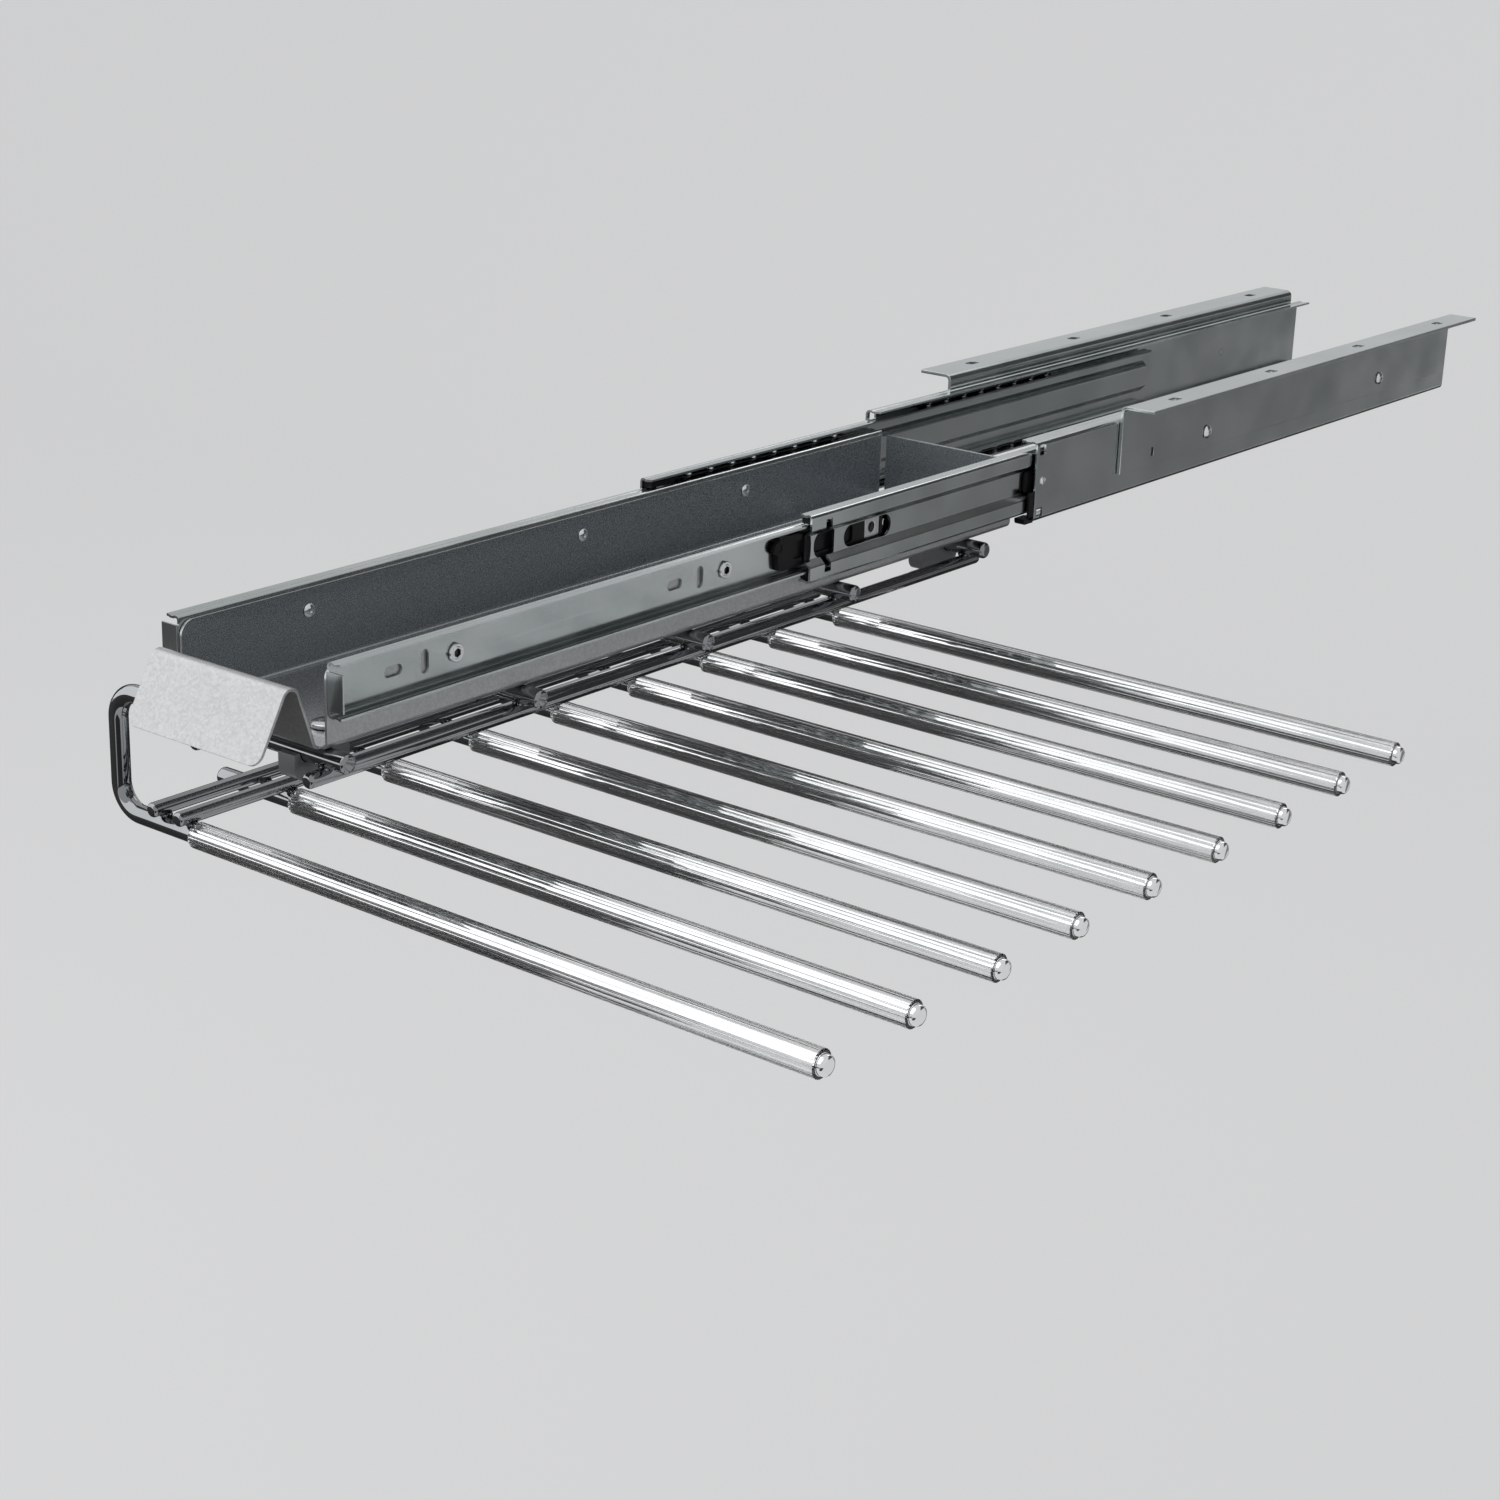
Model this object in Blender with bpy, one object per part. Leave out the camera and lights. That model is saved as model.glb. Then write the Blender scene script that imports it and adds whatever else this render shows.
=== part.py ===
"""Pull-out trouser rack: chrome rods with clear sleeves under a steel tray that runs on two ball slides.

X runs towards the rods' free ends, Y to the rear and Z up. The origin is on the mounting face of the right bracket.
Pieces are laid out from the near end of the first rod's sleeve, and all lengths are in metres.
"""

import math

import bmesh
import bpy
from mathutils import Matrix, Vector

# Clearance between pieces that touch, and how far a cutter passes the sheet it cuts
GAP = 0.0003
OVERRUN = 0.002

# Rods, hairpins and sleeves
HAIRPIN_COUNT = 5
ROD_PITCH = 0.060
ROD_DIAMETER = 0.009
ROD_CHAMFER = 0.0008
ROD_TIP = 0.0035
SLEEVE_LENGTH = 0.350
SLEEVE_DIAMETER = 0.0125
FLUTE_DEPTH = 0.0004
FLUTE_COUNT = 15
HAIRPIN_HEIGHT = 0.0575
BEND_REACH = 0.0513
BEND_RADIUS = 0.0135
ARM_REACH = 0.0985

# Cross wires, measured along X from the sleeves' near ends
WIRE_DIAMETER = 0.007
LOWER_WIRE_LEFT_X = -0.0215
LOWER_WIRE_RIGHT_X = -0.004
UPPER_WIRE_LEFT_X = 0.0125
UPPER_WIRE_RIGHT_X = 0.084
LOWER_WIRE_OVERHANG = 0.0085
UPPER_WIRE_OVERHANG = 0.0115

# Tray, folded from one sheet
TRAY_MIDDLE_X = 0.0434
TRAY_WIDTH = 0.092
TRAY_SHEET = 0.0015
TRAY_BEND = 0.0035
TRAY_WALL_HEIGHT = 0.0378
TRAY_FRONT_OVERHANG = 0.004
TRAY_REAR_OVERHANG = 0.040
TRAY_CORNER_RADIUS = 0.007

# Handle, bent from the front edge of the tray's floor
HANDLE_WIDTH = 0.083
HANDLE_HEIGHT = 0.0344
HANDLE_FOOT = 0.0032
HANDLE_RISE_DEPTH = 0.0117
HANDLE_FALL_DEPTH = 0.019
HANDLE_DROP = 0.0348
HANDLE_CORNER_RADIUS = 0.006
HANDLE_CREST_RADIUS = 0.0037

# Slides: sheet, thickness across the pair, height and the room between the members for the balls
SLIDE_SHEET = 0.0012
SLIDE_THICKNESS = 0.0127
SLIDE_TRAVEL = 0.514
SLIDE_AXIS_HEIGHT = 0.0272
OUTER_HEIGHT = 0.0455
OUTER_RACE = 0.005
INNER_RACE = 0.00525
SLIDE_BEND = 0.0016
RACE_BEND = 0.0028

# Inner members
INNER_FLANGE = 0.008
INNER_FRONT_SETBACK = 0.0003
TAB_INSET = 0.004
TAB_REACH = 0.0103
TAB_ROOT = 0.0048
KEY_SLOT_WIDTH = 0.005
KEY_SLOT_LENGTH = 0.011
LYING_SLOT_SETBACK = 0.0375
UPRIGHT_SLOT_SETBACK = 0.0185

# Middle members
MIDDLE_EXPOSED = 0.203
MIDDLE_SHORTENING = 0.015
MIDDLE_FLANGE_TIP = 0.0028
MIDDLE_WEB_X = 0.0056
MIDDLE_BAND_X = 0.009
MIDDLE_BAND_HEIGHT = 0.0088
NOTCH_FROM_FRONT = 0.178
NOTCH_LENGTH = 0.009
NOTCH_HEIGHT = 0.004

# Openings at the front of each middle member
OVAL_FROM_FRONT = 0.032
OVAL_LENGTH = 0.041
OPENING_INSET = 0.0012
SCOOP_DEPTH = 0.0042
WINDOW_FROM_FRONT = 0.0068
WINDOW_BOW = 0.0037
WINDOW_REAR = 0.024
WINDOW_INSET = 0.00095
STOP_SLOT_FROM_FRONT = 0.0175
STOP_SLOT_LENGTH = 0.0035
STOP_SLOT_INSET = 0.00425

# Black cap in the mouth of each middle member
CAP_PROUD = 0.003
CAP_LEAF = 0.020
CAP_WEB_X = 0.0046
CAP_ROOM = 0.0004

# Release lever on each inner member
LEVER_LEAD = 0.026
LEVER_LENGTH = 0.095
LEVER_X = 0.0015
LEVER_SHEET = 0.0028
LEVER_FRONT_INSET = 0.0028
LEVER_REAR_INSET = 0.0038
LEVER_PIVOT = 0.0068
PIVOT_DIAMETER = 0.0036
LEVER_BOSS = 0.007
LEVER_BOSS_PROUD = 0.0002
LEVER_WINDOW_SETBACK = 0.0765
LEVER_WINDOW_LENGTH = 0.0125
LEVER_WINDOW_INSET = 0.0016
PEEP_HOLE = 0.006

# Black stop in the front of each outer member
STOP_PROUD = 0.005
STOP_LENGTH = 0.027
STOP_INSET = 0.0012
STOP_CORNER = 0.003

# Outer members
OUTER_SETBACK = 0.0097
OUTER_FLANGE_TIP = 0.002
OUTER_LIP = 0.0105
OUTER_LIP_RISE = 0.0006
FRONT_HOLE_SIZE = 0.006
FRONT_HOLE_SETBACK = 0.0055
FRONT_HOLE_INSET = 0.00475
FRONT_OVAL_LENGTH = 0.008
FRONT_OVAL_HEIGHT = 0.0035
FRONT_OVAL_SETBACK = 0.007

# Ball strips
STRIP_SHEET = 0.0005
STRIP_LENGTH = 0.145
STRIP_OPEN_LENGTH = 0.060
INNER_STRIP_FROM_FRONT = 0.026
OUTER_STRIP_FROM_FRONT = 0.050
STRIP_REACH = 0.0055
INNER_STRIP_WEB_X = 0.005
INNER_STRIP_STEP_X = 0.0084
BALLS_IN_ROW = 8
BALL_SETBACK = 0.008

# Fasteners between the tray and the slides
FIRST_SCREW_SETBACK = 0.075
SCREW_AHEAD_OF_LEVER = 0.0325
SCREW_BEHIND_LEVER = 0.005
TRAY_SCREW_DIAMETER = 0.004
TRAY_SCREW_HEAD = 0.0068
TRAY_SCREW_HEAD_HEIGHT = 0.0016
COLLAR_DIAMETER = 0.0086
COLLAR_HEIGHT = 0.0013
COLLAR_HEX = 0.0038
COLLAR_HEX_DEPTH = 0.0009

# Clamps that hold the tray down on the first and the last hairpin
CLAMP_WIDTH = 0.010
CLAMP_WALL = 0.0036
CLAMP_FLOOR = 0.0076
CLAMP_CORNER = 0.004
CLAMP_PAD = 0.0085
CLAMP_X_RIGHT = 0.0251
CLAMP_X_LEFT = -0.0165
BOLT_TO_ARM = 0.0155
BOLT_DIAMETER = 0.006
BOLT_HEAD = 0.0145
BOLT_HEAD_HEIGHT = 0.0022
BOLT_HEAD_CHAMFER = 0.0007
BOLT_HEX = 0.004
BOLT_HEX_DEPTH = 0.0014

# Brackets that carry the outer members
BRACKET_SHEET = 0.002
BRACKET_BEND = 0.003
BRACKET_LEG = 0.022
BRACKET_RISE = 0.0078
BRACKET_TAIL = 0.00975
BRACKET_SETBACK = 0.0865
BRACKET_LENGTH = 0.430
BRACKET_SLOT_SETBACK = 0.036
BRACKET_SLOT_DROP = 0.00175
BRACKET_SLOT_HEIGHT = 0.005
BRACKET_SLOT_WIDTH = 0.003
MOUNT_HOLE = 0.0052
MOUNT_HOLE_INSET = 0.040
MOUNT_HOLE_COUNT = 4
BRACKET_SCREW_DIAMETER = 0.004
BRACKET_SCREW_HEAD = 0.008
BRACKET_SCREW_HEAD_HEIGHT = 0.002
BRACKET_SCREW_INSET = 0.100

# Sizes that follow from those above
ROD_COUNT = 2 * HAIRPIN_COUNT - 1
RACK_LENGTH = (ROD_COUNT - 1) * ROD_PITCH
FLOOR_Z = HAIRPIN_HEIGHT + ROD_DIAMETER / 2 + GAP
TRAY_FRONT = -TRAY_FRONT_OVERHANG
TRAY_REAR = RACK_LENGTH + TRAY_REAR_OVERHANG
SLIDE_Z = FLOOR_Z + SLIDE_AXIS_HEIGHT
MIDDLE_HEIGHT = OUTER_HEIGHT - 2 * OUTER_RACE
INNER_HEIGHT = MIDDLE_HEIGHT - 2 * INNER_RACE
SLIDE_X = TRAY_WIDTH / 2 + GAP
TAB_HEIGHT = INNER_HEIGHT - 2 * TAB_INSET
INNER_ROOM = INNER_HEIGHT - 2 * SLIDE_SHEET
INNER_STRIP_NECK = INNER_ROOM / 2 - STRIP_SHEET / 2 - 2 * GAP
CAP_NECK = INNER_ROOM / 2 - CAP_ROOM
LEVER_FRONT_HEIGHT = INNER_ROOM - 2 * LEVER_FRONT_INSET
LEVER_REAR_HEIGHT = INNER_ROOM - 2 * LEVER_REAR_INSET
LEVER_WINDOW_HEIGHT = LEVER_REAR_HEIGHT - 2 * LEVER_WINDOW_INSET
MIDDLE_WEB_HEIGHT = MIDDLE_HEIGHT - 2 * MIDDLE_BAND_HEIGHT
OPENING_HEIGHT = MIDDLE_WEB_HEIGHT - 2 * OPENING_INSET
WINDOW_HEIGHT = MIDDLE_WEB_HEIGHT - 2 * WINDOW_INSET
STOP_SLOT_ROOT = WINDOW_HEIGHT / 2 - 2 * GAP
STOP_SLOT_TOP = MIDDLE_HEIGHT / 2 - STOP_SLOT_INSET
STOP_HEIGHT = MIDDLE_WEB_HEIGHT - 2 * STOP_INSET
FRONT_HOLE_RISE = OUTER_HEIGHT / 2 - FRONT_HOLE_INSET
INNER_FRONT = TRAY_FRONT + INNER_FRONT_SETBACK
INNER_LENGTH = TRAY_REAR - INNER_FRONT - GAP
OUTER_FRONT = INNER_FRONT + SLIDE_TRAVEL + OUTER_SETBACK
MIDDLE_FRONT = OUTER_FRONT - MIDDLE_EXPOSED
MIDDLE_LENGTH = INNER_LENGTH - MIDDLE_SHORTENING
LEVER_NOSE = MIDDLE_FRONT - INNER_FRONT - LEVER_LEAD
TRAY_SCREW_SETBACKS = (
    FIRST_SCREW_SETBACK,
    LEVER_NOSE - SCREW_AHEAD_OF_LEVER + INNER_FRONT_SETBACK,
    LEVER_NOSE + LEVER_LENGTH + SCREW_BEHIND_LEVER + INNER_FRONT_SETBACK,
)
BRACKET_FRONT = OUTER_FRONT + BRACKET_SETBACK
AXIS_DROP = OUTER_HEIGHT / 2 + BRACKET_RISE
MOUNT_Z = SLIDE_Z + AXIS_DROP
BRACKET_X = SLIDE_THICKNESS + GAP
MOUNT_X = TRAY_MIDDLE_X + SLIDE_X + BRACKET_X + BRACKET_LEG / 2
MOUNT_Y = BRACKET_FRONT + BRACKET_LENGTH / 2

# Steps round curved shapes
ARC_STEPS = 3
ROUND_STEPS = 16
TUBE_RESOLUTION = 3

SIDES = {"left": -1, "right": 1}


def clear_scene():
    """Empties the scene."""
    for item in list(bpy.data.objects):
        bpy.data.objects.remove(item, do_unlink=True)


def finish(name, colour, roughness, metallic, transmission=0.0, alpha=1.0):
    """A plain Principled material."""
    material = bpy.data.materials.new(name)
    material.use_nodes = True
    shader = material.node_tree.nodes["Principled BSDF"]
    shader.inputs["Base Color"].default_value = (*colour, 1.0)
    shader.inputs["Roughness"].default_value = roughness
    shader.inputs["Metallic"].default_value = metallic
    shader.inputs["Transmission Weight"].default_value = transmission
    shader.inputs["Alpha"].default_value = alpha
    return material


def add_empty(name, location, parent=None):
    """A parent for pieces that move together."""
    empty = bpy.data.objects.new(name, None)
    empty.location = location
    empty.parent = parent
    bpy.context.scene.collection.objects.link(empty)
    return empty


def add_object(name, data, material, parent, location=(0, 0, 0), turn=0.0):
    """Links an object to the scene under its parent."""
    item = bpy.data.objects.new(name, data)
    if material and not data.materials:
        data.materials.append(material)
    item.parent = parent
    item.location = location
    item.rotation_euler = (0, 0, turn)
    bpy.context.scene.collection.objects.link(item)
    return item


def mesh_from(name, build):
    """A mesh filled by build(bm), with outward faces and smooth round sides."""
    bm = bmesh.new()
    build(bm)
    bmesh.ops.recalc_face_normals(bm, faces=bm.faces)
    mesh = bpy.data.meshes.new(name)
    bm.to_mesh(mesh)
    bm.free()
    mesh.shade_smooth()
    mesh.set_sharp_from_angle(angle=math.radians(35))
    return mesh


def combine(item, operation, build):
    """Cuts away, or joins on, the shape filled by build(bm), and keeps the result as the item's mesh."""
    tool = bpy.data.objects.new("tool", mesh_from("tool", build))
    tool.parent = item.parent
    tool.location = item.location
    tool.rotation_euler = item.rotation_euler
    bpy.context.scene.collection.objects.link(tool)
    modifier = item.modifiers.new("combine", "BOOLEAN")
    modifier.operation = operation
    modifier.object = tool
    bpy.context.view_layer.update()
    graph = bpy.context.evaluated_depsgraph_get()
    mesh = bpy.data.meshes.new_from_object(item.evaluated_get(graph))
    item.modifiers.clear()
    item.data = mesh
    mesh.name = item.name
    bpy.data.objects.remove(tool, do_unlink=True)
    mesh.shade_smooth()
    mesh.set_sharp_from_angle(angle=math.radians(35))


def rounded(points, radii):
    """The open or closed outline through the points, with each listed corner turned into an arc."""
    outline = []
    count = len(points)
    for index, (point, radius) in enumerate(zip(points, radii)):
        corner = Vector(point)
        if not radius:
            outline.append(corner)
            continue
        before = (Vector(points[index - 1]) - corner).normalized()
        after = (Vector(points[(index + 1) % count]) - corner).normalized()
        half = before.angle(after) / 2
        reach = radius / math.tan(half)
        centre = corner + (before + after).normalized() * radius / math.sin(half)
        start = corner + before * reach - centre
        end = corner + after * reach - centre
        turn = start.angle_signed(end)
        for step in range(ARC_STEPS + 1):
            outline.append(centre + start @ Matrix.Rotation(turn * step / ARC_STEPS, 2))
    return outline


def ribbon(line, thickness):
    """The closed outline of a sheet of even thickness along a centre line."""
    sides = ([], [])
    last = len(line) - 1
    for index, point in enumerate(line):
        forward = (line[min(index + 1, last)] - line[max(index, 1) - 1]).normalized()
        if 0 < index < last:
            back = (point - line[index - 1]).normalized()
            ahead = (line[index + 1] - point).normalized()
            forward = (back + ahead).normalized()
            stretch = 1 / max(forward.dot(ahead), 0.5)
        else:
            stretch = 1
        normal = Vector((-forward.y, forward.x)) * stretch * thickness / 2
        sides[0].append(point + normal)
        sides[1].append(point - normal)
    return sides[0] + sides[1][::-1]


def extrude_outline(bm, outline, start, end, place):
    """A prism of a flat outline between two stations; place(u, v, station) gives the corner."""
    near = [bm.verts.new(place(point[0], point[1], start)) for point in outline]
    far = [bm.verts.new(place(point[0], point[1], end)) for point in outline]
    bm.faces.new(near)
    bm.faces.new(far[::-1])
    count = len(outline)
    for index in range(count):
        following = (index + 1) % count
        bm.faces.new((near[index], far[index], far[following], near[following]))


def add_box(bm, low, high):
    """A box between two corners."""
    low, high = Vector(low), Vector(high)
    made = bmesh.ops.create_cube(bm, size=1)["verts"]
    bmesh.ops.scale(bm, verts=made, vec=high - low)
    bmesh.ops.translate(bm, verts=made, vec=(high + low) / 2)


def add_turned(bm, profile, axis, centre=(0, 0, 0), steps=ROUND_STEPS):
    """A solid turned about an axis, from a profile of (station, radius) pairs."""
    rings = []
    for station, radius in profile:
        ring = []
        for step in range(steps):
            angle = math.tau * (step + 0.5) / steps
            across, up = radius * math.cos(angle), radius * math.sin(angle)
            place = {"X": (station, across, up), "Y": (across, station, up), "Z": (across, up, station)}[axis]
            ring.append(bm.verts.new(Vector(centre) + Vector(place)))
        rings.append(ring)
    bm.faces.new(rings[0])
    bm.faces.new(rings[-1][::-1])
    for near, far in zip(rings, rings[1:]):
        for step in range(steps):
            following = (step + 1) % steps
            bm.faces.new((near[step], near[following], far[following], far[step]))


def add_slot_cutter(bm, axis, centre, length, height, depth, upright=False):
    """A cutter with round ends along Y, or Z if upright: it passes through a web (axis X) or a leg (axis Z)."""
    radius = height / 2
    outline = []
    for end in (1, -1):
        for step in range(2 * ARC_STEPS + 1):
            angle = math.pi * (step / (2 * ARC_STEPS) - 0.5)
            along = end * (length / 2 - radius + radius * math.cos(angle))
            outline.append((along, end * radius * math.sin(angle)))
    if upright:
        outline = [(-across, along) for along, across in outline]
    x, y, z = centre

    def place(u, v, station):
        """The corner of the cutter at a station along its axis."""
        return (x + station, y + u, z + v) if axis == "X" else (x + v, y + u, z + station)

    extrude_outline(bm, outline, -depth / 2, depth / 2, place)


def rod_curve(name, path, diameter):
    """A round wire along a path, with a small chamfer at both ends."""
    curve = bpy.data.curves.new(name, "CURVE")
    curve.dimensions = "3D"
    curve.bevel_depth = diameter / 2
    curve.bevel_resolution = TUBE_RESOLUTION
    curve.use_fill_caps = True
    first, last = Vector(path[0]), Vector(path[-1])
    inward_first = (Vector(path[1]) - first).normalized() * ROD_CHAMFER
    inward_last = (Vector(path[-2]) - last).normalized() * ROD_CHAMFER
    points = [first, first + inward_first, *map(Vector, path[1:-1]), last + inward_last, last]
    spline = curve.splines.new("POLY")
    spline.points.add(len(points) - 1)
    for index, point in enumerate(points):
        spline.points[index].co = (*point, 1)
        end = index in (0, len(points) - 1)
        spline.points[index].radius = 1 - 2 * ROD_CHAMFER / diameter if end else 1
    spline.use_smooth = True
    return curve


def hairpin_path():
    """The centre line of a hairpin, from its sleeved end round to the cut end of its upper arm."""
    corners = [
        (SLEEVE_LENGTH + ROD_TIP, 0),
        (-BEND_REACH, 0),
        (-BEND_REACH, HAIRPIN_HEIGHT),
        (ARM_REACH, HAIRPIN_HEIGHT),
    ]
    bends = rounded(corners, (0, BEND_RADIUS, BEND_RADIUS, 0))
    return [(point.x, 0, point.y) for point in bends]


def build_rods(chrome, parent):
    """The hairpins and, between them, the straight rods."""
    hairpin = rod_curve("hairpin", hairpin_path(), ROD_DIAMETER)
    straight = rod_curve("straight", [(SLEEVE_LENGTH + ROD_TIP, 0, 0), (-BEND_REACH, 0, 0)], ROD_DIAMETER)
    for index in range(ROD_COUNT):
        shape = straight if index % 2 else hairpin
        add_object(f"rod_{index + 1}", shape, chrome, parent, (0, index * ROD_PITCH, 0))


def build_sleeves(clear, parent):
    """The fluted tubes on the rods."""
    corners = 2 * FLUTE_COUNT
    bore = (ROD_DIAMETER / 2 + GAP) / math.cos(math.pi / corners)

    def tube(bm):
        """Fills in a fluted tube."""
        rings = []
        for station, inner in ((0, False), (SLEEVE_LENGTH, False), (SLEEVE_LENGTH, True), (0, True)):
            ring = []
            for step in range(corners):
                angle = math.tau * step / corners
                outer = SLEEVE_DIAMETER / 2 - FLUTE_DEPTH * (step % 2)
                radius = bore if inner else outer
                ring.append(bm.verts.new((station, radius * math.cos(angle), radius * math.sin(angle))))
            rings.append(ring)
        for near, far in zip(rings, rings[1:] + rings[:1]):
            for step in range(corners):
                following = (step + 1) % corners
                bm.faces.new((near[step], near[following], far[following], far[step]))

    shape = mesh_from("sleeve", tube)
    for index in range(ROD_COUNT):
        add_object(f"sleeve_{index + 1}", shape, clear, parent, (0, index * ROD_PITCH, 0))


def build_wires(chrome, parent):
    """The four wires that tie the rods together."""
    seat = ROD_DIAMETER / 2 + GAP + WIRE_DIAMETER / 2
    rows = {
        "lower_wire_left": (LOWER_WIRE_LEFT_X, seat, LOWER_WIRE_OVERHANG),
        "lower_wire_right": (LOWER_WIRE_RIGHT_X, seat, LOWER_WIRE_OVERHANG),
        "upper_wire_left": (UPPER_WIRE_LEFT_X, HAIRPIN_HEIGHT - seat, UPPER_WIRE_OVERHANG),
        "upper_wire_right": (UPPER_WIRE_RIGHT_X, HAIRPIN_HEIGHT - seat, UPPER_WIRE_OVERHANG),
    }
    for name, (x, z, overhang) in rows.items():
        shape = rod_curve(name, [(0, -overhang, 0), (0, RACK_LENGTH + overhang, 0)], WIRE_DIAMETER)
        add_object(name, shape, chrome, parent, (x, 0, z))


def handle_line():
    """The (y, z) line of the handle's underside, from the tray's floor to its hanging lower edge."""
    foot = TRAY_FRONT - HANDLE_FOOT
    crest = foot - HANDLE_RISE_DEPTH
    tip = crest - HANDLE_FALL_DEPTH
    points = [(TRAY_FRONT, 0), (foot, 0), (crest, HANDLE_HEIGHT), (tip, HANDLE_HEIGHT - HANDLE_DROP)]
    return rounded(points, (0, TRAY_BEND, HANDLE_CREST_RADIUS, 0))


def build_tray_sheet(bm):
    """The lower surface of the folded sheet: floor, side walls, rear wall and handle."""
    half = TRAY_WIDTH / 2
    flat = half - TRAY_BEND
    rear_flat = TRAY_REAR - TRAY_BEND
    grip = HANDLE_WIDTH / 2
    columns = (-flat, -grip, grip, flat)
    front = [bm.verts.new((x, TRAY_FRONT, 0)) for x in columns]
    rear = [bm.verts.new((x, rear_flat, 0)) for x in columns]
    for index in range(len(columns) - 1):
        bm.faces.new((front[index], front[index + 1], rear[index + 1], rear[index]))
    bends = [math.pi / 2 * step / ARC_STEPS for step in range(1, ARC_STEPS + 1)]
    for side, corner in ((-1, 0), (1, 3)):
        low_front, low_rear = front[corner], rear[corner]
        for angle in bends:
            x = side * (flat + TRAY_BEND * math.sin(angle))
            z = TRAY_BEND * (1 - math.cos(angle))
            next_front = bm.verts.new((x, TRAY_FRONT, z))
            next_rear = bm.verts.new((x, rear_flat, z))
            bm.faces.new((low_front, low_rear, next_rear, next_front))
            low_front, low_rear = next_front, next_rear
        wall = [(TRAY_FRONT, TRAY_WALL_HEIGHT), (rear_flat, TRAY_WALL_HEIGHT), (rear_flat, TRAY_BEND)]
        wall = rounded([*wall, (TRAY_FRONT, TRAY_BEND)], (TRAY_CORNER_RADIUS, 0, 0, 0))[:-2]
        ring = [bm.verts.new((side * half, point.x, point.y)) for point in wall]
        bm.faces.new((low_front, *ring, low_rear))
    row = rear
    for angle in bends:
        y = rear_flat + TRAY_BEND * math.sin(angle)
        z = TRAY_BEND * (1 - math.cos(angle))
        row = bridge_row(bm, row, columns, y, z)
    bridge_row(bm, row, columns, TRAY_REAR, TRAY_WALL_HEIGHT)
    row = front[1:3]
    line = handle_line()
    for point in line[1:-1]:
        row = bridge_row(bm, row, (-grip, grip), point.x, point.y)
    build_handle_tip(bm, row, line[-2], line[-1], grip)


def bridge_row(bm, row, columns, y, z):
    """Joins a row of corners to a new one, and gives the new row."""
    following = [bm.verts.new((x, y, z)) for x in columns]
    for index in range(len(row) - 1):
        bm.faces.new((row[index], row[index + 1], following[index + 1], following[index]))
    return following


def build_handle_tip(bm, row, above, below, grip):
    """The handle's front leg, with round lower corners."""
    span = (below - above).length
    outline = [(-grip, 0), (-grip, span), (grip, span), (grip, 0)]
    outline = rounded(outline, (0, HANDLE_CORNER_RADIUS, HANDLE_CORNER_RADIUS, 0))[1:-1]
    ring = []
    for point in outline:
        place = above.lerp(below, point.y / span)
        ring.append(bm.verts.new((point.x, place.x, place.y)))
    bm.faces.new((row[0], *ring, row[1]))


def clamp_places():
    """The name, arm, X place and direction of each clamp, front pair and rear pair."""
    rows = []
    for end, y, direction in (("front", 0, 1), ("rear", RACK_LENGTH, -1)):
        for side, offset in (("left", CLAMP_X_LEFT), ("right", CLAMP_X_RIGHT)):
            rows.append((f"{end}_{side}", y, TRAY_MIDDLE_X + offset, direction))
    return rows


def build_tray(steel, parent):
    """The tray with its handle, bored for the screws and the bolts."""
    place = (TRAY_MIDDLE_X, 0, FLOOR_Z)
    tray = add_object("tray", mesh_from("tray", build_tray_sheet), steel, parent, place)
    solidify = tray.modifiers.new("sheet", "SOLIDIFY")
    solidify.thickness = TRAY_SHEET
    solidify.offset = -1
    solidify.use_even_offset = True
    for face in tray.data.polygons[:1]:
        if face.normal.z > 0:
            tray.data.flip_normals()

    def holes(bm):
        """Cutters for the screws through the walls and the bolts through the floor."""
        depth = TRAY_SHEET + OVERRUN
        radius = TRAY_SCREW_DIAMETER / 2 + GAP
        for side in SIDES.values():
            for setback in TRAY_SCREW_SETBACKS:
                middle = (side * (TRAY_WIDTH - TRAY_SHEET) / 2, TRAY_FRONT + setback, SLIDE_AXIS_HEIGHT)
                add_turned(bm, ((-depth, radius), (depth, radius)), "X", middle)
        radius = BOLT_DIAMETER / 2 + GAP
        for _, y, x, direction in clamp_places():
            middle = (x - TRAY_MIDDLE_X, y + direction * BOLT_TO_ARM, TRAY_SHEET / 2)
            add_turned(bm, ((-depth, radius), (depth, radius)), "Z", middle)

    combine(tray, "DIFFERENCE", holes)


def slide_place(side):
    """Turns a slide's own (x out, y back, z up) into a corner on one side of the tray."""

    def place(u, v, station):
        """A corner of a section (u out, v up) at a station along Y."""
        return (side * u, station, v)

    return place


def section(corners, radii, thickness=SLIDE_SHEET):
    """The closed outline of a symmetrical slide section from the corners of its upper half."""
    below = [(x, -z) for x, z in reversed(corners)]
    line = rounded([*corners, *below], (*radii, *reversed(radii)))
    return ribbon(line, thickness)


def inner_section():
    """A C open to the outside."""
    web = SLIDE_SHEET / 2
    edge = INNER_HEIGHT / 2 - web
    return section([(INNER_FLANGE, edge), (web, edge)], (0, SLIDE_BEND))


def middle_section():
    """A C whose web is set back between two raised race bands."""
    half = SLIDE_SHEET / 2
    edge = MIDDLE_HEIGHT / 2 - half
    band = MIDDLE_BAND_X + half
    web = MIDDLE_WEB_X + half
    step = MIDDLE_HEIGHT / 2 - MIDDLE_BAND_HEIGHT
    corners = [(MIDDLE_FLANGE_TIP, edge), (band, edge), (band, step), (web, step)]
    return section(corners, (0, RACE_BEND, SLIDE_SHEET, SLIDE_SHEET))


def outer_section():
    """A C open to the tray."""
    half = SLIDE_SHEET / 2
    edge = OUTER_HEIGHT / 2 - half
    return section([(OUTER_FLANGE_TIP, edge), (SLIDE_THICKNESS - half, edge)], (0, RACE_BEND))


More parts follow.
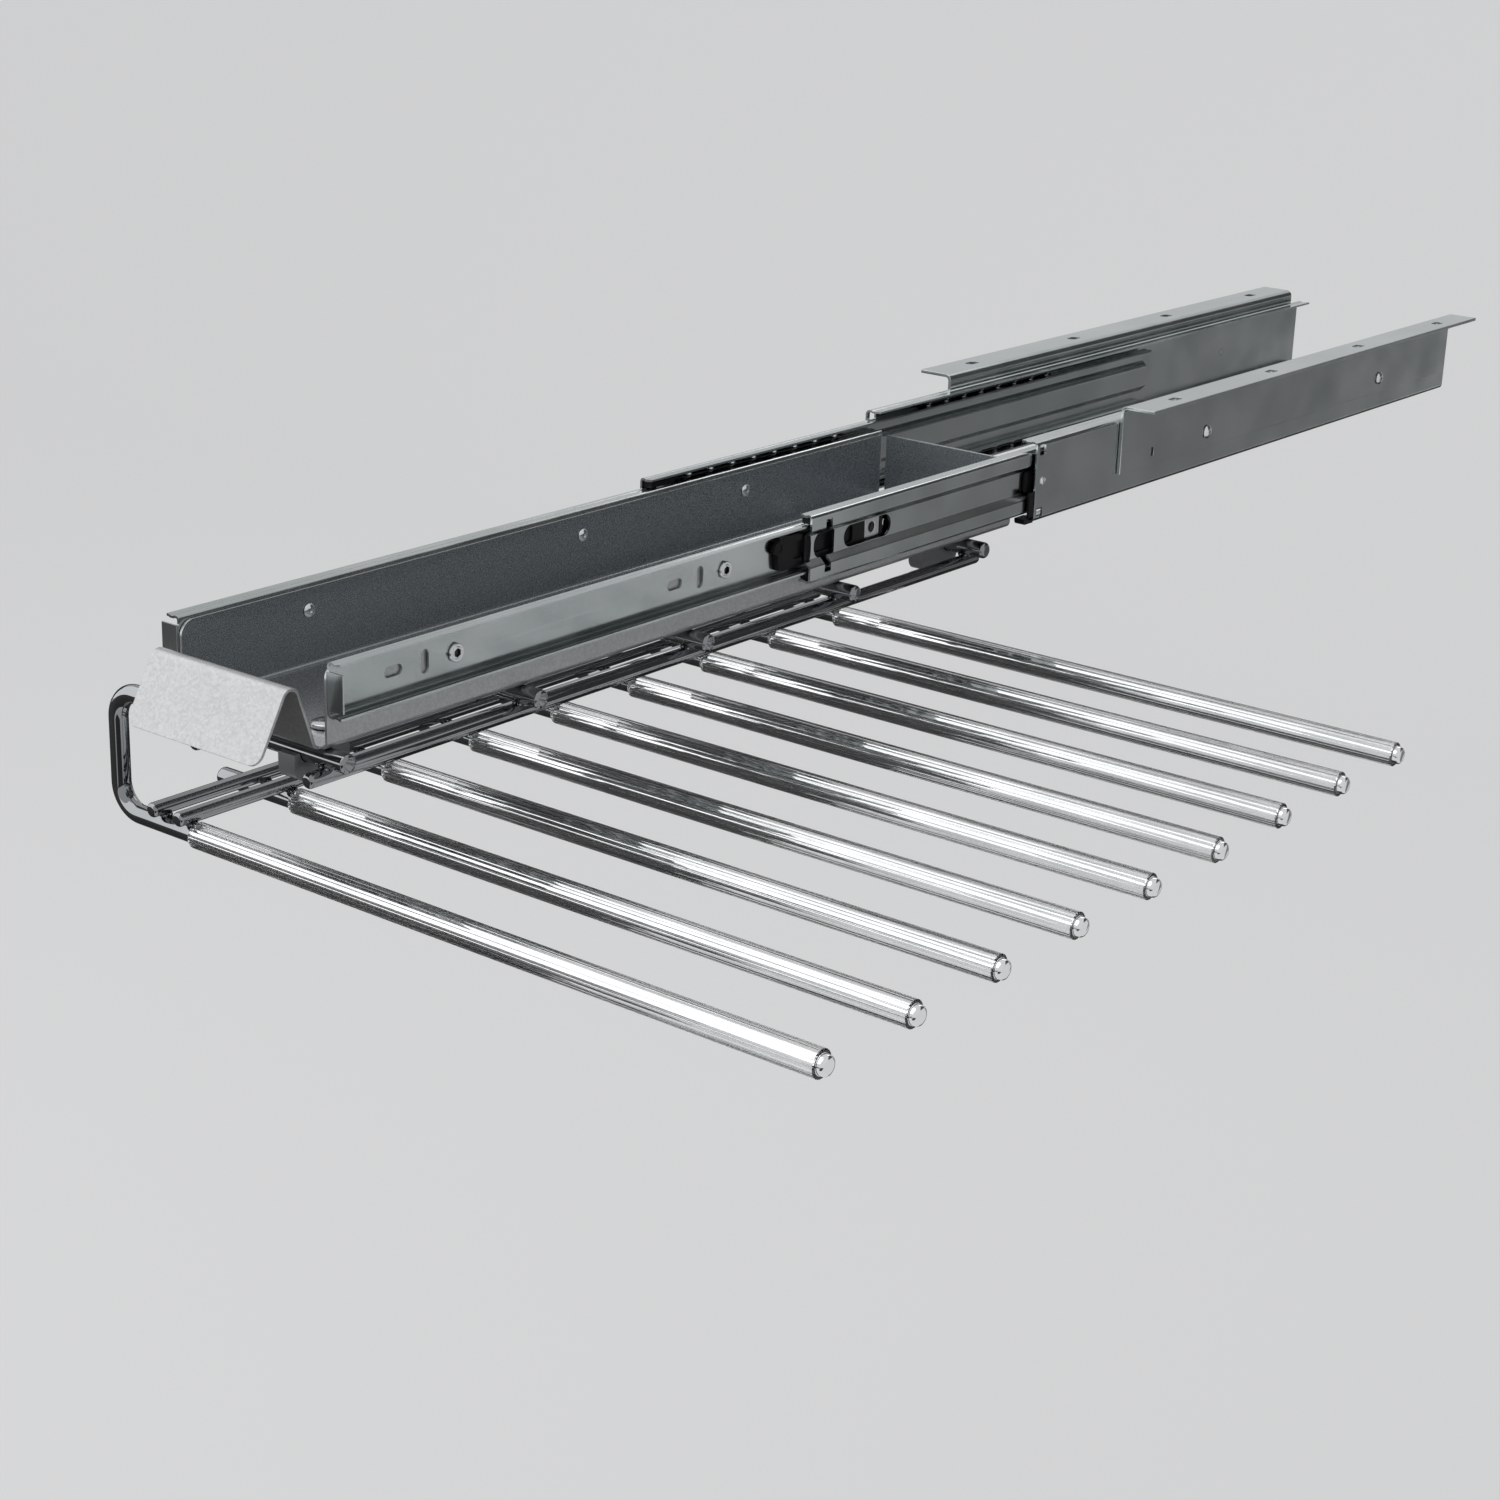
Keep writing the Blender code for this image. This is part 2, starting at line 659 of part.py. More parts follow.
def build_inner(name, side, steel, parent):
    """A drawer member with its bent front tab, slots and screw holes."""
    place = slide_place(side)

    def profile(bm):
        """The rolled section."""
        extrude_outline(bm, inner_section(), 0, INNER_LENGTH, place)

    def tab(bm):
        """The front tab, rooted inside the web."""
        inset = SLIDE_SHEET / 6
        middle = SLIDE_SHEET / 2
        line = [Vector((middle, TAB_ROOT)), Vector((middle, -middle)), Vector((TAB_REACH, -middle))]
        outline = ribbon(line, SLIDE_SHEET - 2 * inset)

        def flat(u, v, station):
            """A corner of the tab's plan at a height."""
            return (side * u, v, station)

        extrude_outline(bm, outline, -TAB_HEIGHT / 2, TAB_HEIGHT / 2, flat)

    def holes(bm):
        """The slots in front of the first two screws, the screws' holes and the pivot's and the peep hole."""
        depth = SLIDE_SHEET + OVERRUN
        middle_x = side * SLIDE_SHEET / 2
        for setback in TRAY_SCREW_SETBACKS:
            centre = (middle_x, setback - INNER_FRONT_SETBACK, 0)
            radius = TRAY_SCREW_DIAMETER / 2 + GAP
            add_turned(bm, ((-depth, radius), (depth, radius)), "X", centre)
        for setback in TRAY_SCREW_SETBACKS[:2]:
            screw = setback - INNER_FRONT_SETBACK
            lying = (middle_x, screw - LYING_SLOT_SETBACK, 0)
            add_slot_cutter(bm, "X", lying, KEY_SLOT_LENGTH, KEY_SLOT_WIDTH, 2 * depth)
            upright = (middle_x, screw - UPRIGHT_SLOT_SETBACK, 0)
            add_slot_cutter(bm, "X", upright, KEY_SLOT_LENGTH, KEY_SLOT_WIDTH, 2 * depth, upright=True)
        peep = LEVER_NOSE + LEVER_WINDOW_SETBACK + LEVER_WINDOW_LENGTH / 2
        for y, radius in ((LEVER_NOSE + LEVER_PIVOT, PIVOT_DIAMETER / 2 + GAP), (peep, PEEP_HOLE / 2)):
            add_turned(bm, ((-depth, radius), (depth, radius)), "X", (middle_x, y, 0))

    location = (TRAY_MIDDLE_X + side * SLIDE_X, INNER_FRONT, SLIDE_Z)
    item = add_object(name, mesh_from(name, profile), steel, parent, location)
    combine(item, "UNION", tab)
    combine(item, "DIFFERENCE", holes)


def bow(centre, reach, rise, steps):
    """Half an ellipse in (y, z) from below to above, bulging to the front by reach about its centre."""
    angles = [math.pi * (step / steps - 0.5) for step in range(steps + 1)]
    return [(centre - reach * math.cos(angle), rise * math.sin(angle)) for angle in angles]


def build_middle(name, side, steel, parent):
    """An intermediate member with its front openings and the notch in its lower band."""
    place = slide_place(side)
    web = MIDDLE_WEB_X + SLIDE_SHEET / 2
    depth = SLIDE_SHEET + 2 * OVERRUN

    def profile(bm):
        """The rolled section."""
        extrude_outline(bm, middle_section(), 0, MIDDLE_LENGTH, place)

    def flat(u, v, station):
        """A corner of a cutter's side view at a distance from the tray."""
        return (side * station, u, v)

    def holes(bm):
        """The scooped front edge, the bowed window, the oval opening and the notch."""
        oval = (side * web, OVAL_FROM_FRONT + OVAL_LENGTH / 2, 0)
        add_slot_cutter(bm, "X", oval, OVAL_LENGTH, OPENING_HEIGHT, depth)
        rise = WINDOW_HEIGHT / 2
        window = bow(WINDOW_FROM_FRONT + WINDOW_BOW, WINDOW_BOW, rise, 4 * ARC_STEPS)
        window += [(WINDOW_REAR, rise), (WINDOW_REAR, -rise)]
        scoop = bow(0, -SCOOP_DEPTH, OPENING_HEIGHT / 2, 4 * ARC_STEPS)
        scoop += [(-OVERRUN, OPENING_HEIGHT / 2), (-OVERRUN, -OPENING_HEIGHT / 2)]
        for outline in (window, scoop):
            extrude_outline(bm, outline, web - depth / 2, web + depth / 2, flat)
        edge = MIDDLE_HEIGHT / 2
        add_box(
            bm,
            (side * MIDDLE_FLANGE_TIP / 2 - OVERRUN, NOTCH_FROM_FRONT, -edge - OVERRUN),
            (side * SLIDE_THICKNESS + OVERRUN, NOTCH_FROM_FRONT + NOTCH_LENGTH, NOTCH_HEIGHT - edge),
        )

    def stop_slots(bm):
        """The window's slits: a straight one above, and one below with a slanting front edge."""
        near, far = STOP_SLOT_FROM_FRONT, STOP_SLOT_FROM_FRONT + STOP_SLOT_LENGTH
        low, high = STOP_SLOT_ROOT, STOP_SLOT_TOP
        slant = WINDOW_FROM_FRONT + WINDOW_BOW
        above = [(near, low), (far, low), (far, high), (near, high)]
        below = [(slant, -low), (near, SLIDE_SHEET - high), (near, -high), (far, -high), (far, -low)]
        for outline in (above, below):
            extrude_outline(bm, outline, MIDDLE_WEB_X - OVERRUN, SLIDE_THICKNESS, flat)

    location = (TRAY_MIDDLE_X + side * SLIDE_X, MIDDLE_FRONT, SLIDE_Z)
    item = add_object(name, mesh_from(name, profile), steel, parent, location)
    combine(item, "DIFFERENCE", holes)
    combine(item, "DIFFERENCE", stop_slots)


def build_outer(name, side, steel, parent):
    """A fixed member with a lip along its lower front edge and holes in its web."""
    place = slide_place(side)

    def profile(bm):
        """The rolled section, longer in front by the lip."""
        extrude_outline(bm, outer_section(), -OUTER_LIP, INNER_LENGTH, place)

    def holes(bm):
        """Trims the front back to the lip, and cuts the front holes and the screw holes."""
        edge = OUTER_HEIGHT / 2
        low_x, high_x = sorted((0, side * (SLIDE_THICKNESS + OVERRUN)))
        floor = SLIDE_SHEET + OUTER_LIP_RISE - edge
        add_box(bm, (low_x, -OUTER_LIP - OVERRUN, floor), (high_x, 0, edge + OVERRUN))
        web = side * (SLIDE_THICKNESS - SLIDE_SHEET / 2)
        depth = SLIDE_SHEET + 2 * OVERRUN
        for rise in (FRONT_HOLE_RISE, -FRONT_HOLE_RISE):
            half = FRONT_HOLE_SIZE / 2
            add_box(
                bm,
                (web - depth / 2, FRONT_HOLE_SETBACK - half, rise - half),
                (web + depth / 2, FRONT_HOLE_SETBACK + half, rise + half),
            )
        oval = (web, FRONT_OVAL_SETBACK, 0)
        add_slot_cutter(bm, "X", oval, FRONT_OVAL_LENGTH, FRONT_OVAL_HEIGHT, depth)
        radius = BRACKET_SCREW_DIAMETER / 2 + GAP
        for y in bracket_screw_places():
            ends = ((-depth / 2, radius), (depth / 2, radius))
            add_turned(bm, ends, "X", (web, y - OUTER_FRONT, 0))

    location = (TRAY_MIDDLE_X + side * SLIDE_X, OUTER_FRONT, SLIDE_Z)
    item = add_object(name, mesh_from(name, profile), steel, parent, location)
    combine(item, "DIFFERENCE", holes)


def bracket_screw_places():
    """The two Y places of the screws between bracket and outer member."""
    return (BRACKET_FRONT + BRACKET_SCREW_INSET, BRACKET_FRONT + BRACKET_LENGTH - BRACKET_SCREW_INSET)


def inner_strip_section():
    """The strip between inner and middle member: two race leaves and a web that clears both."""
    race = (INNER_HEIGHT + MIDDLE_HEIGHT) / 4 - SLIDE_SHEET / 2
    leaf = INNER_STRIP_STEP_X - STRIP_REACH
    corners = [(leaf, race), (INNER_STRIP_STEP_X, race)]
    corners += [(INNER_STRIP_STEP_X, INNER_STRIP_NECK), (INNER_STRIP_WEB_X, INNER_STRIP_NECK)]
    return race, section(corners, (0, 0, 0, 0), STRIP_SHEET)


def outer_strip_section():
    """The strip between middle and outer member, a plain C."""
    race = (MIDDLE_HEIGHT + OUTER_HEIGHT) / 4 - SLIDE_SHEET / 2
    web = (MIDDLE_BAND_X + SLIDE_THICKNESS) / 2
    return race, section([(web - STRIP_REACH, race), (web, race)], (0, 0), STRIP_SHEET)


def build_ball_strip(name, side, kind, steel, parent):
    """A ball strip, one solid with its two rows of balls."""
    place = slide_place(side)
    inner = kind == "inner"
    race, outline = inner_strip_section() if inner else outer_strip_section()
    if inner:
        room = (MIDDLE_HEIGHT - INNER_HEIGHT) / 2 - SLIDE_SHEET
        ball_x = INNER_STRIP_STEP_X - STRIP_REACH / 2
        front = MIDDLE_FRONT + INNER_STRIP_FROM_FRONT
    else:
        room = (OUTER_HEIGHT - MIDDLE_HEIGHT) / 2 - SLIDE_SHEET
        ball_x = (MIDDLE_BAND_X + SLIDE_THICKNESS - STRIP_REACH) / 2
        front = OUTER_FRONT + OUTER_STRIP_FROM_FRONT

    def profile(bm):
        """The folded strip."""
        extrude_outline(bm, outline, 0, STRIP_LENGTH, place)

    def open_front(bm):
        """Cuts the web's front away, which leaves two leaves there."""
        low_x, high_x = sorted((0, side * (INNER_STRIP_STEP_X - STRIP_REACH / 4)))
        tall = INNER_STRIP_NECK + 2 * STRIP_SHEET
        add_box(bm, (low_x, -OVERRUN, -tall), (high_x, STRIP_OPEN_LENGTH, tall))

    def balls(bm):
        """Two rows of balls, at an even pitch."""
        pitch = (STRIP_LENGTH - 2 * BALL_SETBACK) / (BALLS_IN_ROW - 1)
        for row in (race, -race):
            for index in range(BALLS_IN_ROW):
                centre = (side * ball_x, BALL_SETBACK + index * pitch, row)
                move = Matrix.Translation(centre)
                bmesh.ops.create_uvsphere(bm, u_segments=6, v_segments=4, radius=room / 2 - GAP, matrix=move)

    location = (TRAY_MIDDLE_X + side * SLIDE_X, front, SLIDE_Z)
    item = add_object(name, mesh_from(name, profile), steel, parent, location)
    if inner:
        combine(item, "DIFFERENCE", open_front)
    combine(item, "UNION", balls)


def build_cap(name, side, plastic, parent):
    """The black cap in the mouth of a middle member, with two leaves that reach into its races."""
    place = slide_place(side)
    high = MIDDLE_HEIGHT / 2 - SLIDE_SHEET - GAP
    outside = MIDDLE_BAND_X + SLIDE_SHEET / 2
    web = MIDDLE_WEB_X + SLIDE_SHEET
    step = MIDDLE_HEIGHT / 2 - MIDDLE_BAND_HEIGHT
    race = INNER_HEIGHT / 2 + GAP
    inside = INNER_FLANGE + GAP
    tip = MIDDLE_FLANGE_TIP - GAP
    half = [(tip, race), (tip, high), (outside, high), (outside, step), (web, step)]
    back = [(CAP_WEB_X, CAP_NECK), (inside, CAP_NECK), (inside, race)]

    def body(bm):
        """The cap's own section, in front of the steel."""
        outline = half + [(x, -z) for x, z in reversed(half)]
        outline += [(x, -z) for x, z in reversed(back)] + back
        extrude_outline(bm, outline, -CAP_PROUD, -GAP, place)

    def leaves(bm):
        """The leaves in the races, rooted in the cap."""
        low_x, high_x = sorted((side * MIDDLE_FLANGE_TIP, side * (MIDDLE_BAND_X - RACE_BEND / 2 - GAP)))
        for low, top in ((race + GAP, high), (-high, -race - GAP)):
            add_box(bm, (low_x, -CAP_PROUD / 2, low), (high_x, CAP_LEAF, top))

    location = (TRAY_MIDDLE_X + side * SLIDE_X, MIDDLE_FRONT, SLIDE_Z)
    item = add_object(name, mesh_from(name, body), plastic, parent, location)
    combine(item, "UNION", leaves)


def build_lever(name, side, plastic, parent):
    """The black lever on an inner member, with its pivot pin, its boss and its window."""
    behind = LEVER_LENGTH - LEVER_PIVOT
    far = LEVER_X + LEVER_SHEET

    def flat(u, v, station):
        """A corner of the lever's side view at a distance from the tray."""
        return (side * station, u, v)

    def body(bm):
        """The lever, wide and round at its nose."""
        front = LEVER_FRONT_HEIGHT / 2
        rear = LEVER_REAR_HEIGHT / 2
        outline = bow(0, LEVER_PIVOT, front, 4 * ARC_STEPS)
        tail = [(front, front), (behind, rear), (behind, -rear), (front, -front)]
        outline += rounded(tail, (0, rear / 2, rear / 2, 0))
        extrude_outline(bm, outline, LEVER_X, far, flat)

    def pin(bm):
        """The pin through the web, and the boss round it."""
        reach = (LEVER_X + far) / 2
        radius = PIVOT_DIAMETER / 2
        boss = LEVER_BOSS / 2
        profile = ((GAP, radius), (reach, radius), (reach, boss), (far + LEVER_BOSS_PROUD, boss))
        if side < 0:
            profile = tuple((-station, width) for station, width in reversed(profile))
        add_turned(bm, profile, "X")

    def window(bm):
        """The window over the peep hole."""
        low_x, high_x = sorted((side * (LEVER_X - OVERRUN / 2), side * (far + OVERRUN)))
        low = LEVER_WINDOW_SETBACK - LEVER_PIVOT
        tall = LEVER_WINDOW_HEIGHT / 2
        add_box(bm, (low_x, low, -tall), (high_x, low + LEVER_WINDOW_LENGTH, tall))

    pivot = (TRAY_MIDDLE_X + side * SLIDE_X, INNER_FRONT + LEVER_NOSE + LEVER_PIVOT, SLIDE_Z)
    item = add_object(name, mesh_from(name, body), plastic, parent, pivot)
    combine(item, "UNION", pin)
    combine(item, "DIFFERENCE", window)


def build_stop(name, side, plastic, parent):
    """The black stop in the front of an outer member, behind the middle member's web."""
    low = MIDDLE_WEB_X + SLIDE_SHEET + GAP
    high = SLIDE_THICKNESS - SLIDE_SHEET - GAP
    rise = STOP_HEIGHT / 2
    rear = STOP_LENGTH - STOP_PROUD

    def flat(u, v, station):
        """A corner of the stop's side view at a distance from the tray."""
        return (side * station, u, v)

    def body(bm):
        """A block with round front corners."""
        corners = [(-STOP_PROUD, -rise), (rear, -rise), (rear, rise), (-STOP_PROUD, rise)]
        outline = rounded(corners, (STOP_CORNER, 0, 0, STOP_CORNER))
        extrude_outline(bm, outline, low, high, flat)

    location = (TRAY_MIDDLE_X + side * SLIDE_X, OUTER_FRONT, SLIDE_Z)
    add_object(name, mesh_from(name, body), plastic, parent, location)


def build_slides(finishes, tray_body, middle_body, strip_bodies, root_body):
    """Both slides with their strips, caps, levers and stops."""
    zinc, black = finishes
    for side_name, side in SIDES.items():
        build_inner(f"slide_inner_{side_name}", side, zinc, tray_body)
        build_middle(f"slide_middle_{side_name}", side, zinc, middle_body)
        build_outer(f"slide_outer_{side_name}", side, zinc, root_body)
        for kind, body in strip_bodies.items():
            build_ball_strip(f"ball_strip_{kind}_{side_name}", side, kind, zinc, body)
        build_cap(f"slide_cap_{side_name}", side, black, middle_body)
        build_stop(f"slide_stop_{side_name}", side, black, root_body)
        build_lever(f"release_lever_{side_name}", side, black, tray_body)


def hex_cutter(bm, axis, centre, across, depth):
    """A six-sided socket, open towards the positive axis."""
    radius = across / (2 * math.cos(math.pi / 6))
    add_turned(bm, ((-depth, radius), (OVERRUN, radius)), axis, centre, 6)


def build_tray_screws(steel, parent):
    """The screws between the tray's walls and the inner members, heads inside and collars outside."""
    inside = -TRAY_SHEET - GAP
    outside = GAP + SLIDE_SHEET + GAP
    shank = TRAY_SCREW_DIAMETER / 2
    head = TRAY_SCREW_HEAD / 2
    collar = COLLAR_DIAMETER / 2
    face = outside + COLLAR_HEIGHT
    profile = (
        (inside - TRAY_SCREW_HEAD_HEIGHT, head / 2),
        (inside - TRAY_SCREW_HEAD_HEIGHT / 2, head - TRAY_SCREW_HEAD_HEIGHT / 4),
        (inside, head),
        (inside, shank),
        (outside, shank),
        (outside, collar),
        (face, collar),
    )

    def body(bm):
        """Head, shank and collar."""
        add_turned(bm, profile, "X")

    def socket(bm):
        """The hexagon in the collar."""
        hex_cutter(bm, "X", (face, 0, 0), COLLAR_HEX, COLLAR_HEX_DEPTH)

    first = add_object("tray_screw", mesh_from("tray_screw", body), steel, parent)
    combine(first, "DIFFERENCE", socket)
    shape = first.data
    bpy.data.objects.remove(first, do_unlink=True)
    for side_name, side in SIDES.items():
        for index, setback in enumerate(TRAY_SCREW_SETBACKS):
            place = (TRAY_MIDDLE_X + side * TRAY_WIDTH / 2, TRAY_FRONT + setback, SLIDE_Z)
            turn = 0 if side > 0 else math.pi
            add_object(f"tray_screw_{side_name}_{index + 1}", shape, steel, parent, place, turn)


def build_clamps(grey, steel, parent):
    """The hooked clamps under the arms, and the bolts that pull the tray down on them."""
    inner = ROD_DIAMETER / 2 + GAP
    outer = inner + CLAMP_WALL
    bottom = inner + CLAMP_FLOOR
    far = BOLT_TO_ARM + CLAMP_PAD
    top = ROD_DIAMETER / 2
    corners = [(-outer, 0), (-outer, -bottom), (far, -bottom), (far, top), (inner, top)]
    outline = rounded(corners, (0, CLAMP_CORNER, CLAMP_CORNER, 0, 0))
    for step in range(4 * ARC_STEPS + 1):
        angle = -math.pi * step / (4 * ARC_STEPS)
        reach = inner / math.cos(math.pi / (8 * ARC_STEPS))
        outline.append(Vector((reach * math.cos(angle), reach * math.sin(angle))))

    def place(u, v, station):
        """A corner of the clamp's side view at a station across it."""
        return (station, u, v)

    def body(bm):
        """The hook and its pad."""
        extrude_outline(bm, outline, -CLAMP_WIDTH / 2, CLAMP_WIDTH / 2, place)

    def bore(bm):
        """The bolt's hole."""
        radius = BOLT_DIAMETER / 2 + GAP
        ends = ((-bottom - OVERRUN, radius), (top + OVERRUN, radius))
        add_turned(bm, ends, "Z", (0, BOLT_TO_ARM, 0))

    first = add_object("clamp", mesh_from("clamp", body), grey, parent)
    combine(first, "DIFFERENCE", bore)
    clamp_shape = first.data
    bpy.data.objects.remove(first, do_unlink=True)
    under = FLOOR_Z - HAIRPIN_HEIGHT
    seat = TRAY_SHEET + GAP
    head = BOLT_HEAD / 2
    crown = seat + BOLT_HEAD_HEIGHT
    profile = (
        (-bottom - under, BOLT_DIAMETER / 2),
        (seat, BOLT_DIAMETER / 2),
        (seat, head),
        (crown - BOLT_HEAD_CHAMFER, head),
        (crown, head - BOLT_HEAD_CHAMFER),
    )

    def bolt(bm):
        """Shank and flat head, measured from the floor's underside."""
        add_turned(bm, profile, "Z")

    def socket(bm):
        """The hexagon in the head."""
        hex_cutter(bm, "Z", (0, 0, crown), BOLT_HEX, BOLT_HEX_DEPTH)

    first = add_object("floor_bolt", mesh_from("floor_bolt", bolt), steel, parent)
    combine(first, "DIFFERENCE", socket)
    bolt_shape = first.data
    bpy.data.objects.remove(first, do_unlink=True)
    for name, y, x, direction in clamp_places():
        turn = 0 if direction > 0 else math.pi
        add_object(f"clamp_{name}", clamp_shape, grey, parent, (x, y, HAIRPIN_HEIGHT), turn)
        place_bolt = (x, y + direction * BOLT_TO_ARM, FLOOR_Z)
        add_object(f"floor_bolt_{name}", bolt_shape, steel, parent, place_bolt)


def build_brackets(zinc, steel, parent):
    """The angles that carry the outer members, and their screws."""
    half = BRACKET_SHEET / 2
    for side_name, side in SIDES.items():
        place = slide_place(side)
        corners = [(half, -AXIS_DROP - BRACKET_TAIL), (half, -half), (BRACKET_LEG, -half)]
        line = rounded(corners, (0, BRACKET_BEND, 0))

        def profile(bm):
            """The folded angle, measured from its mounting face."""
            extrude_outline(bm, ribbon(line, BRACKET_SHEET), 0, BRACKET_LENGTH, place)

        def holes(bm):
            """The holes for the mounting screws, the small slot and the holes for the bracket's own screws."""
            depth = BRACKET_SHEET + 2 * OVERRUN
            pitch = (BRACKET_LENGTH - 2 * MOUNT_HOLE_INSET) / (MOUNT_HOLE_COUNT - 1)
            for index in range(MOUNT_HOLE_COUNT):
                middle = (side * (BRACKET_LEG + BRACKET_SHEET) / 2, MOUNT_HOLE_INSET + index * pitch, -half)
                add_slot_cutter(bm, "Z", middle, 2 * MOUNT_HOLE, MOUNT_HOLE, depth)
            low = -AXIS_DROP - BRACKET_SLOT_DROP
            wide = BRACKET_SLOT_WIDTH / 2
            tall = BRACKET_SLOT_HEIGHT / 2
            add_box(
                bm,
                (side * half - depth / 2, BRACKET_SLOT_SETBACK - wide, low - tall),
                (side * half + depth / 2, BRACKET_SLOT_SETBACK + wide, low + tall),
            )
            radius = BRACKET_SCREW_DIAMETER / 2 + GAP
            for y in bracket_screw_places():
                centre = (side * half, y - BRACKET_FRONT, -AXIS_DROP)
                add_turned(bm, ((-depth / 2, radius), (depth / 2, radius)), "X", centre)

        location = (TRAY_MIDDLE_X + side * (SLIDE_X + BRACKET_X), BRACKET_FRONT, MOUNT_Z)
        item = add_object(f"bracket_{side_name}", mesh_from("bracket", profile), zinc, parent, location)
        combine(item, "DIFFERENCE", holes)
    build_bracket_screws(steel, parent)


def build_bracket_screws(steel, parent):
    """The screws between each bracket and its outer member."""
    shank = BRACKET_SCREW_DIAMETER / 2
    head = BRACKET_SCREW_HEAD / 2
    seat = BRACKET_SHEET + GAP
    profile = (
        (-GAP - SLIDE_SHEET, shank),
        (seat, shank),
        (seat, head),
        (seat + BRACKET_SCREW_HEAD_HEIGHT / 2, head),
        (seat + BRACKET_SCREW_HEAD_HEIGHT, head / 2),
    )

    def body(bm):
        """Shank and round head."""
        add_turned(bm, profile, "X")

    shape = mesh_from("bracket_screw", body)
    for side_name, side in SIDES.items():
        for index, y in enumerate(bracket_screw_places()):
            place = (TRAY_MIDDLE_X + side * (SLIDE_X + BRACKET_X), y, SLIDE_Z)
            turn = 0 if side > 0 else math.pi
            add_object(f"bracket_screw_{side_name}_{index + 1}", shape, steel, parent, place, turn)


def main():
    """Builds the rack in its pulled-out position."""
    clear_scene()
    chrome = finish("chrome", (0.78, 0.79, 0.80), 0.12, 1.0)
    clear = finish("clear_plastic", (0.90, 0.92, 0.93), 0.15, 0.0, 0.6, 0.45)
    grey = finish("grey_steel", (0.52, 0.53, 0.54), 0.45, 0.3)
    slate = finish("slate_grey", (0.10, 0.11, 0.12), 0.5, 0.2)
    zinc = finish("zinc", (0.48, 0.51, 0.54), 0.32, 1.0)
    black = finish("black_plastic", (0.02, 0.02, 0.02), 0.4, 0.0)
    steel = finish("screw_steel", (0.60, 0.61, 0.62), 0.3, 1.0)
    layout = add_empty("layout", (-MOUNT_X, -MOUNT_Y, -MOUNT_Z))
    tray_body = add_empty("tray_body", (0, 0, 0), layout)
    middle_body = add_empty("middle_body", (0, 0, 0), layout)
    strips = {kind: add_empty(f"{kind}_strip_body", (0, 0, 0), layout) for kind in ("inner", "outer")}
    build_rods(chrome, tray_body)
    build_sleeves(clear, tray_body)
    build_wires(chrome, tray_body)
    build_tray(grey, tray_body)
    build_tray_screws(steel, tray_body)
    build_clamps(slate, steel, tray_body)
    build_slides((zinc, black), tray_body, middle_body, strips, layout)
    build_brackets(zinc, steel, layout)
    bpy.context.view_layer.update()


main()
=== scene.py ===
"""Looks of the pull-out trouser rack: fine meshes, procedural finishes, soft studio light and the photograph's angle.

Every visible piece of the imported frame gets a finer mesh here. All sizes are in metres, and the meshes are laid out
from the near end of the first rod's sleeve: X towards the rods' free ends, Y to the rear and Z up.
"""

import logging
import math
from collections.abc import Callable, Iterable, Mapping, Sequence
from dataclasses import dataclass
from enum import Enum

import bmesh
import bpy
from mathutils import Matrix, Vector

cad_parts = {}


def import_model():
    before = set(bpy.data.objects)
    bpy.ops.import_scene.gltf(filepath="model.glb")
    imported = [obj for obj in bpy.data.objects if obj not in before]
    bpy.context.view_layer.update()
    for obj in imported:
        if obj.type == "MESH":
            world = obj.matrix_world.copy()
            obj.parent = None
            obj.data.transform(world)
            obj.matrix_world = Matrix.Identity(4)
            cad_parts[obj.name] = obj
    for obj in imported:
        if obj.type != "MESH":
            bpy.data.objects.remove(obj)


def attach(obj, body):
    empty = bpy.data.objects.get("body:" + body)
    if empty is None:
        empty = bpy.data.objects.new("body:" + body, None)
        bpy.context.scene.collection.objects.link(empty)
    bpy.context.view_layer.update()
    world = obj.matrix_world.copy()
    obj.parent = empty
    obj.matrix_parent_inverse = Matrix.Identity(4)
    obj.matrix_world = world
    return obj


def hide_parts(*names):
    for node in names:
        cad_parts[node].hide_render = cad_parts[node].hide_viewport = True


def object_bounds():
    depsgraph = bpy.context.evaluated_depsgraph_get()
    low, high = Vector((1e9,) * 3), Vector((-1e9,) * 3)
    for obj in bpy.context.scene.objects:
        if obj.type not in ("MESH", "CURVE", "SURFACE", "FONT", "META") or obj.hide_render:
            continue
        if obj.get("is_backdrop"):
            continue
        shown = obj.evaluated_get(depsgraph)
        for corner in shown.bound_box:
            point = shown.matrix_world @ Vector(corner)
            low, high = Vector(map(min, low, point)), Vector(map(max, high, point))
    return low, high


LOG = logging.getLogger("trouser_rack")

Pair = tuple[float, float]
Triple = tuple[float, float, float]
Place = Callable[[float, float, float], Triple]
Row = list[bmesh.types.BMVert]
Named = tuple[tuple[str, float], ...]


class Side(Enum):
    """The two sides of the tray, with their direction along X."""

    LEFT = -1
    RIGHT = 1

    @property
    def label(self) -> str:
        """The word that node names end in."""
        return self.name.lower()


class Body(Enum):
    """The frame's moving bodies."""

    FIXED = "fixed"
    RACK = "rack"
    MIDDLE = "middle"
    INNER_STRIPS = "inner_strips"
    OUTER_STRIPS = "outer_strips"
    LEVER_LEFT = "lever_left"
    LEVER_RIGHT = "lever_right"


class Axis(Enum):
    """The axis that a turned shape runs along."""

    X = "x"
    Z = "z"


class Coat(Enum):
    """The finishes, each with the record's slot that it stands for."""

    CHROME = "chrome_wire"
    # Darker copy of the chrome: painted shade and dark reflections on bare wire.
    BARE = "chrome_wire:bare"
    SLEEVE = "clear_sleeve"
    TRAY = "grey_steel"
    # The tray's coating again, bluish and smoother, for its inside faces: painted shade and dark reflections.
    TRAY_INSIDE = "grey_steel:inside"
    SLATE = "slate_metal"
    ZINC = "zinc_steel"
    # Dark steel for the ball strips, also used as painted shade in screw sockets and in the peep hole.
    STRIP = "zinc_steel:strip"
    PLASTIC = "black_plastic"
    SCREW = "screw_steel"

    @property
    def slot(self) -> str:
        """The record's material slot."""
        return self.value.split(":")[0]


# Outlines


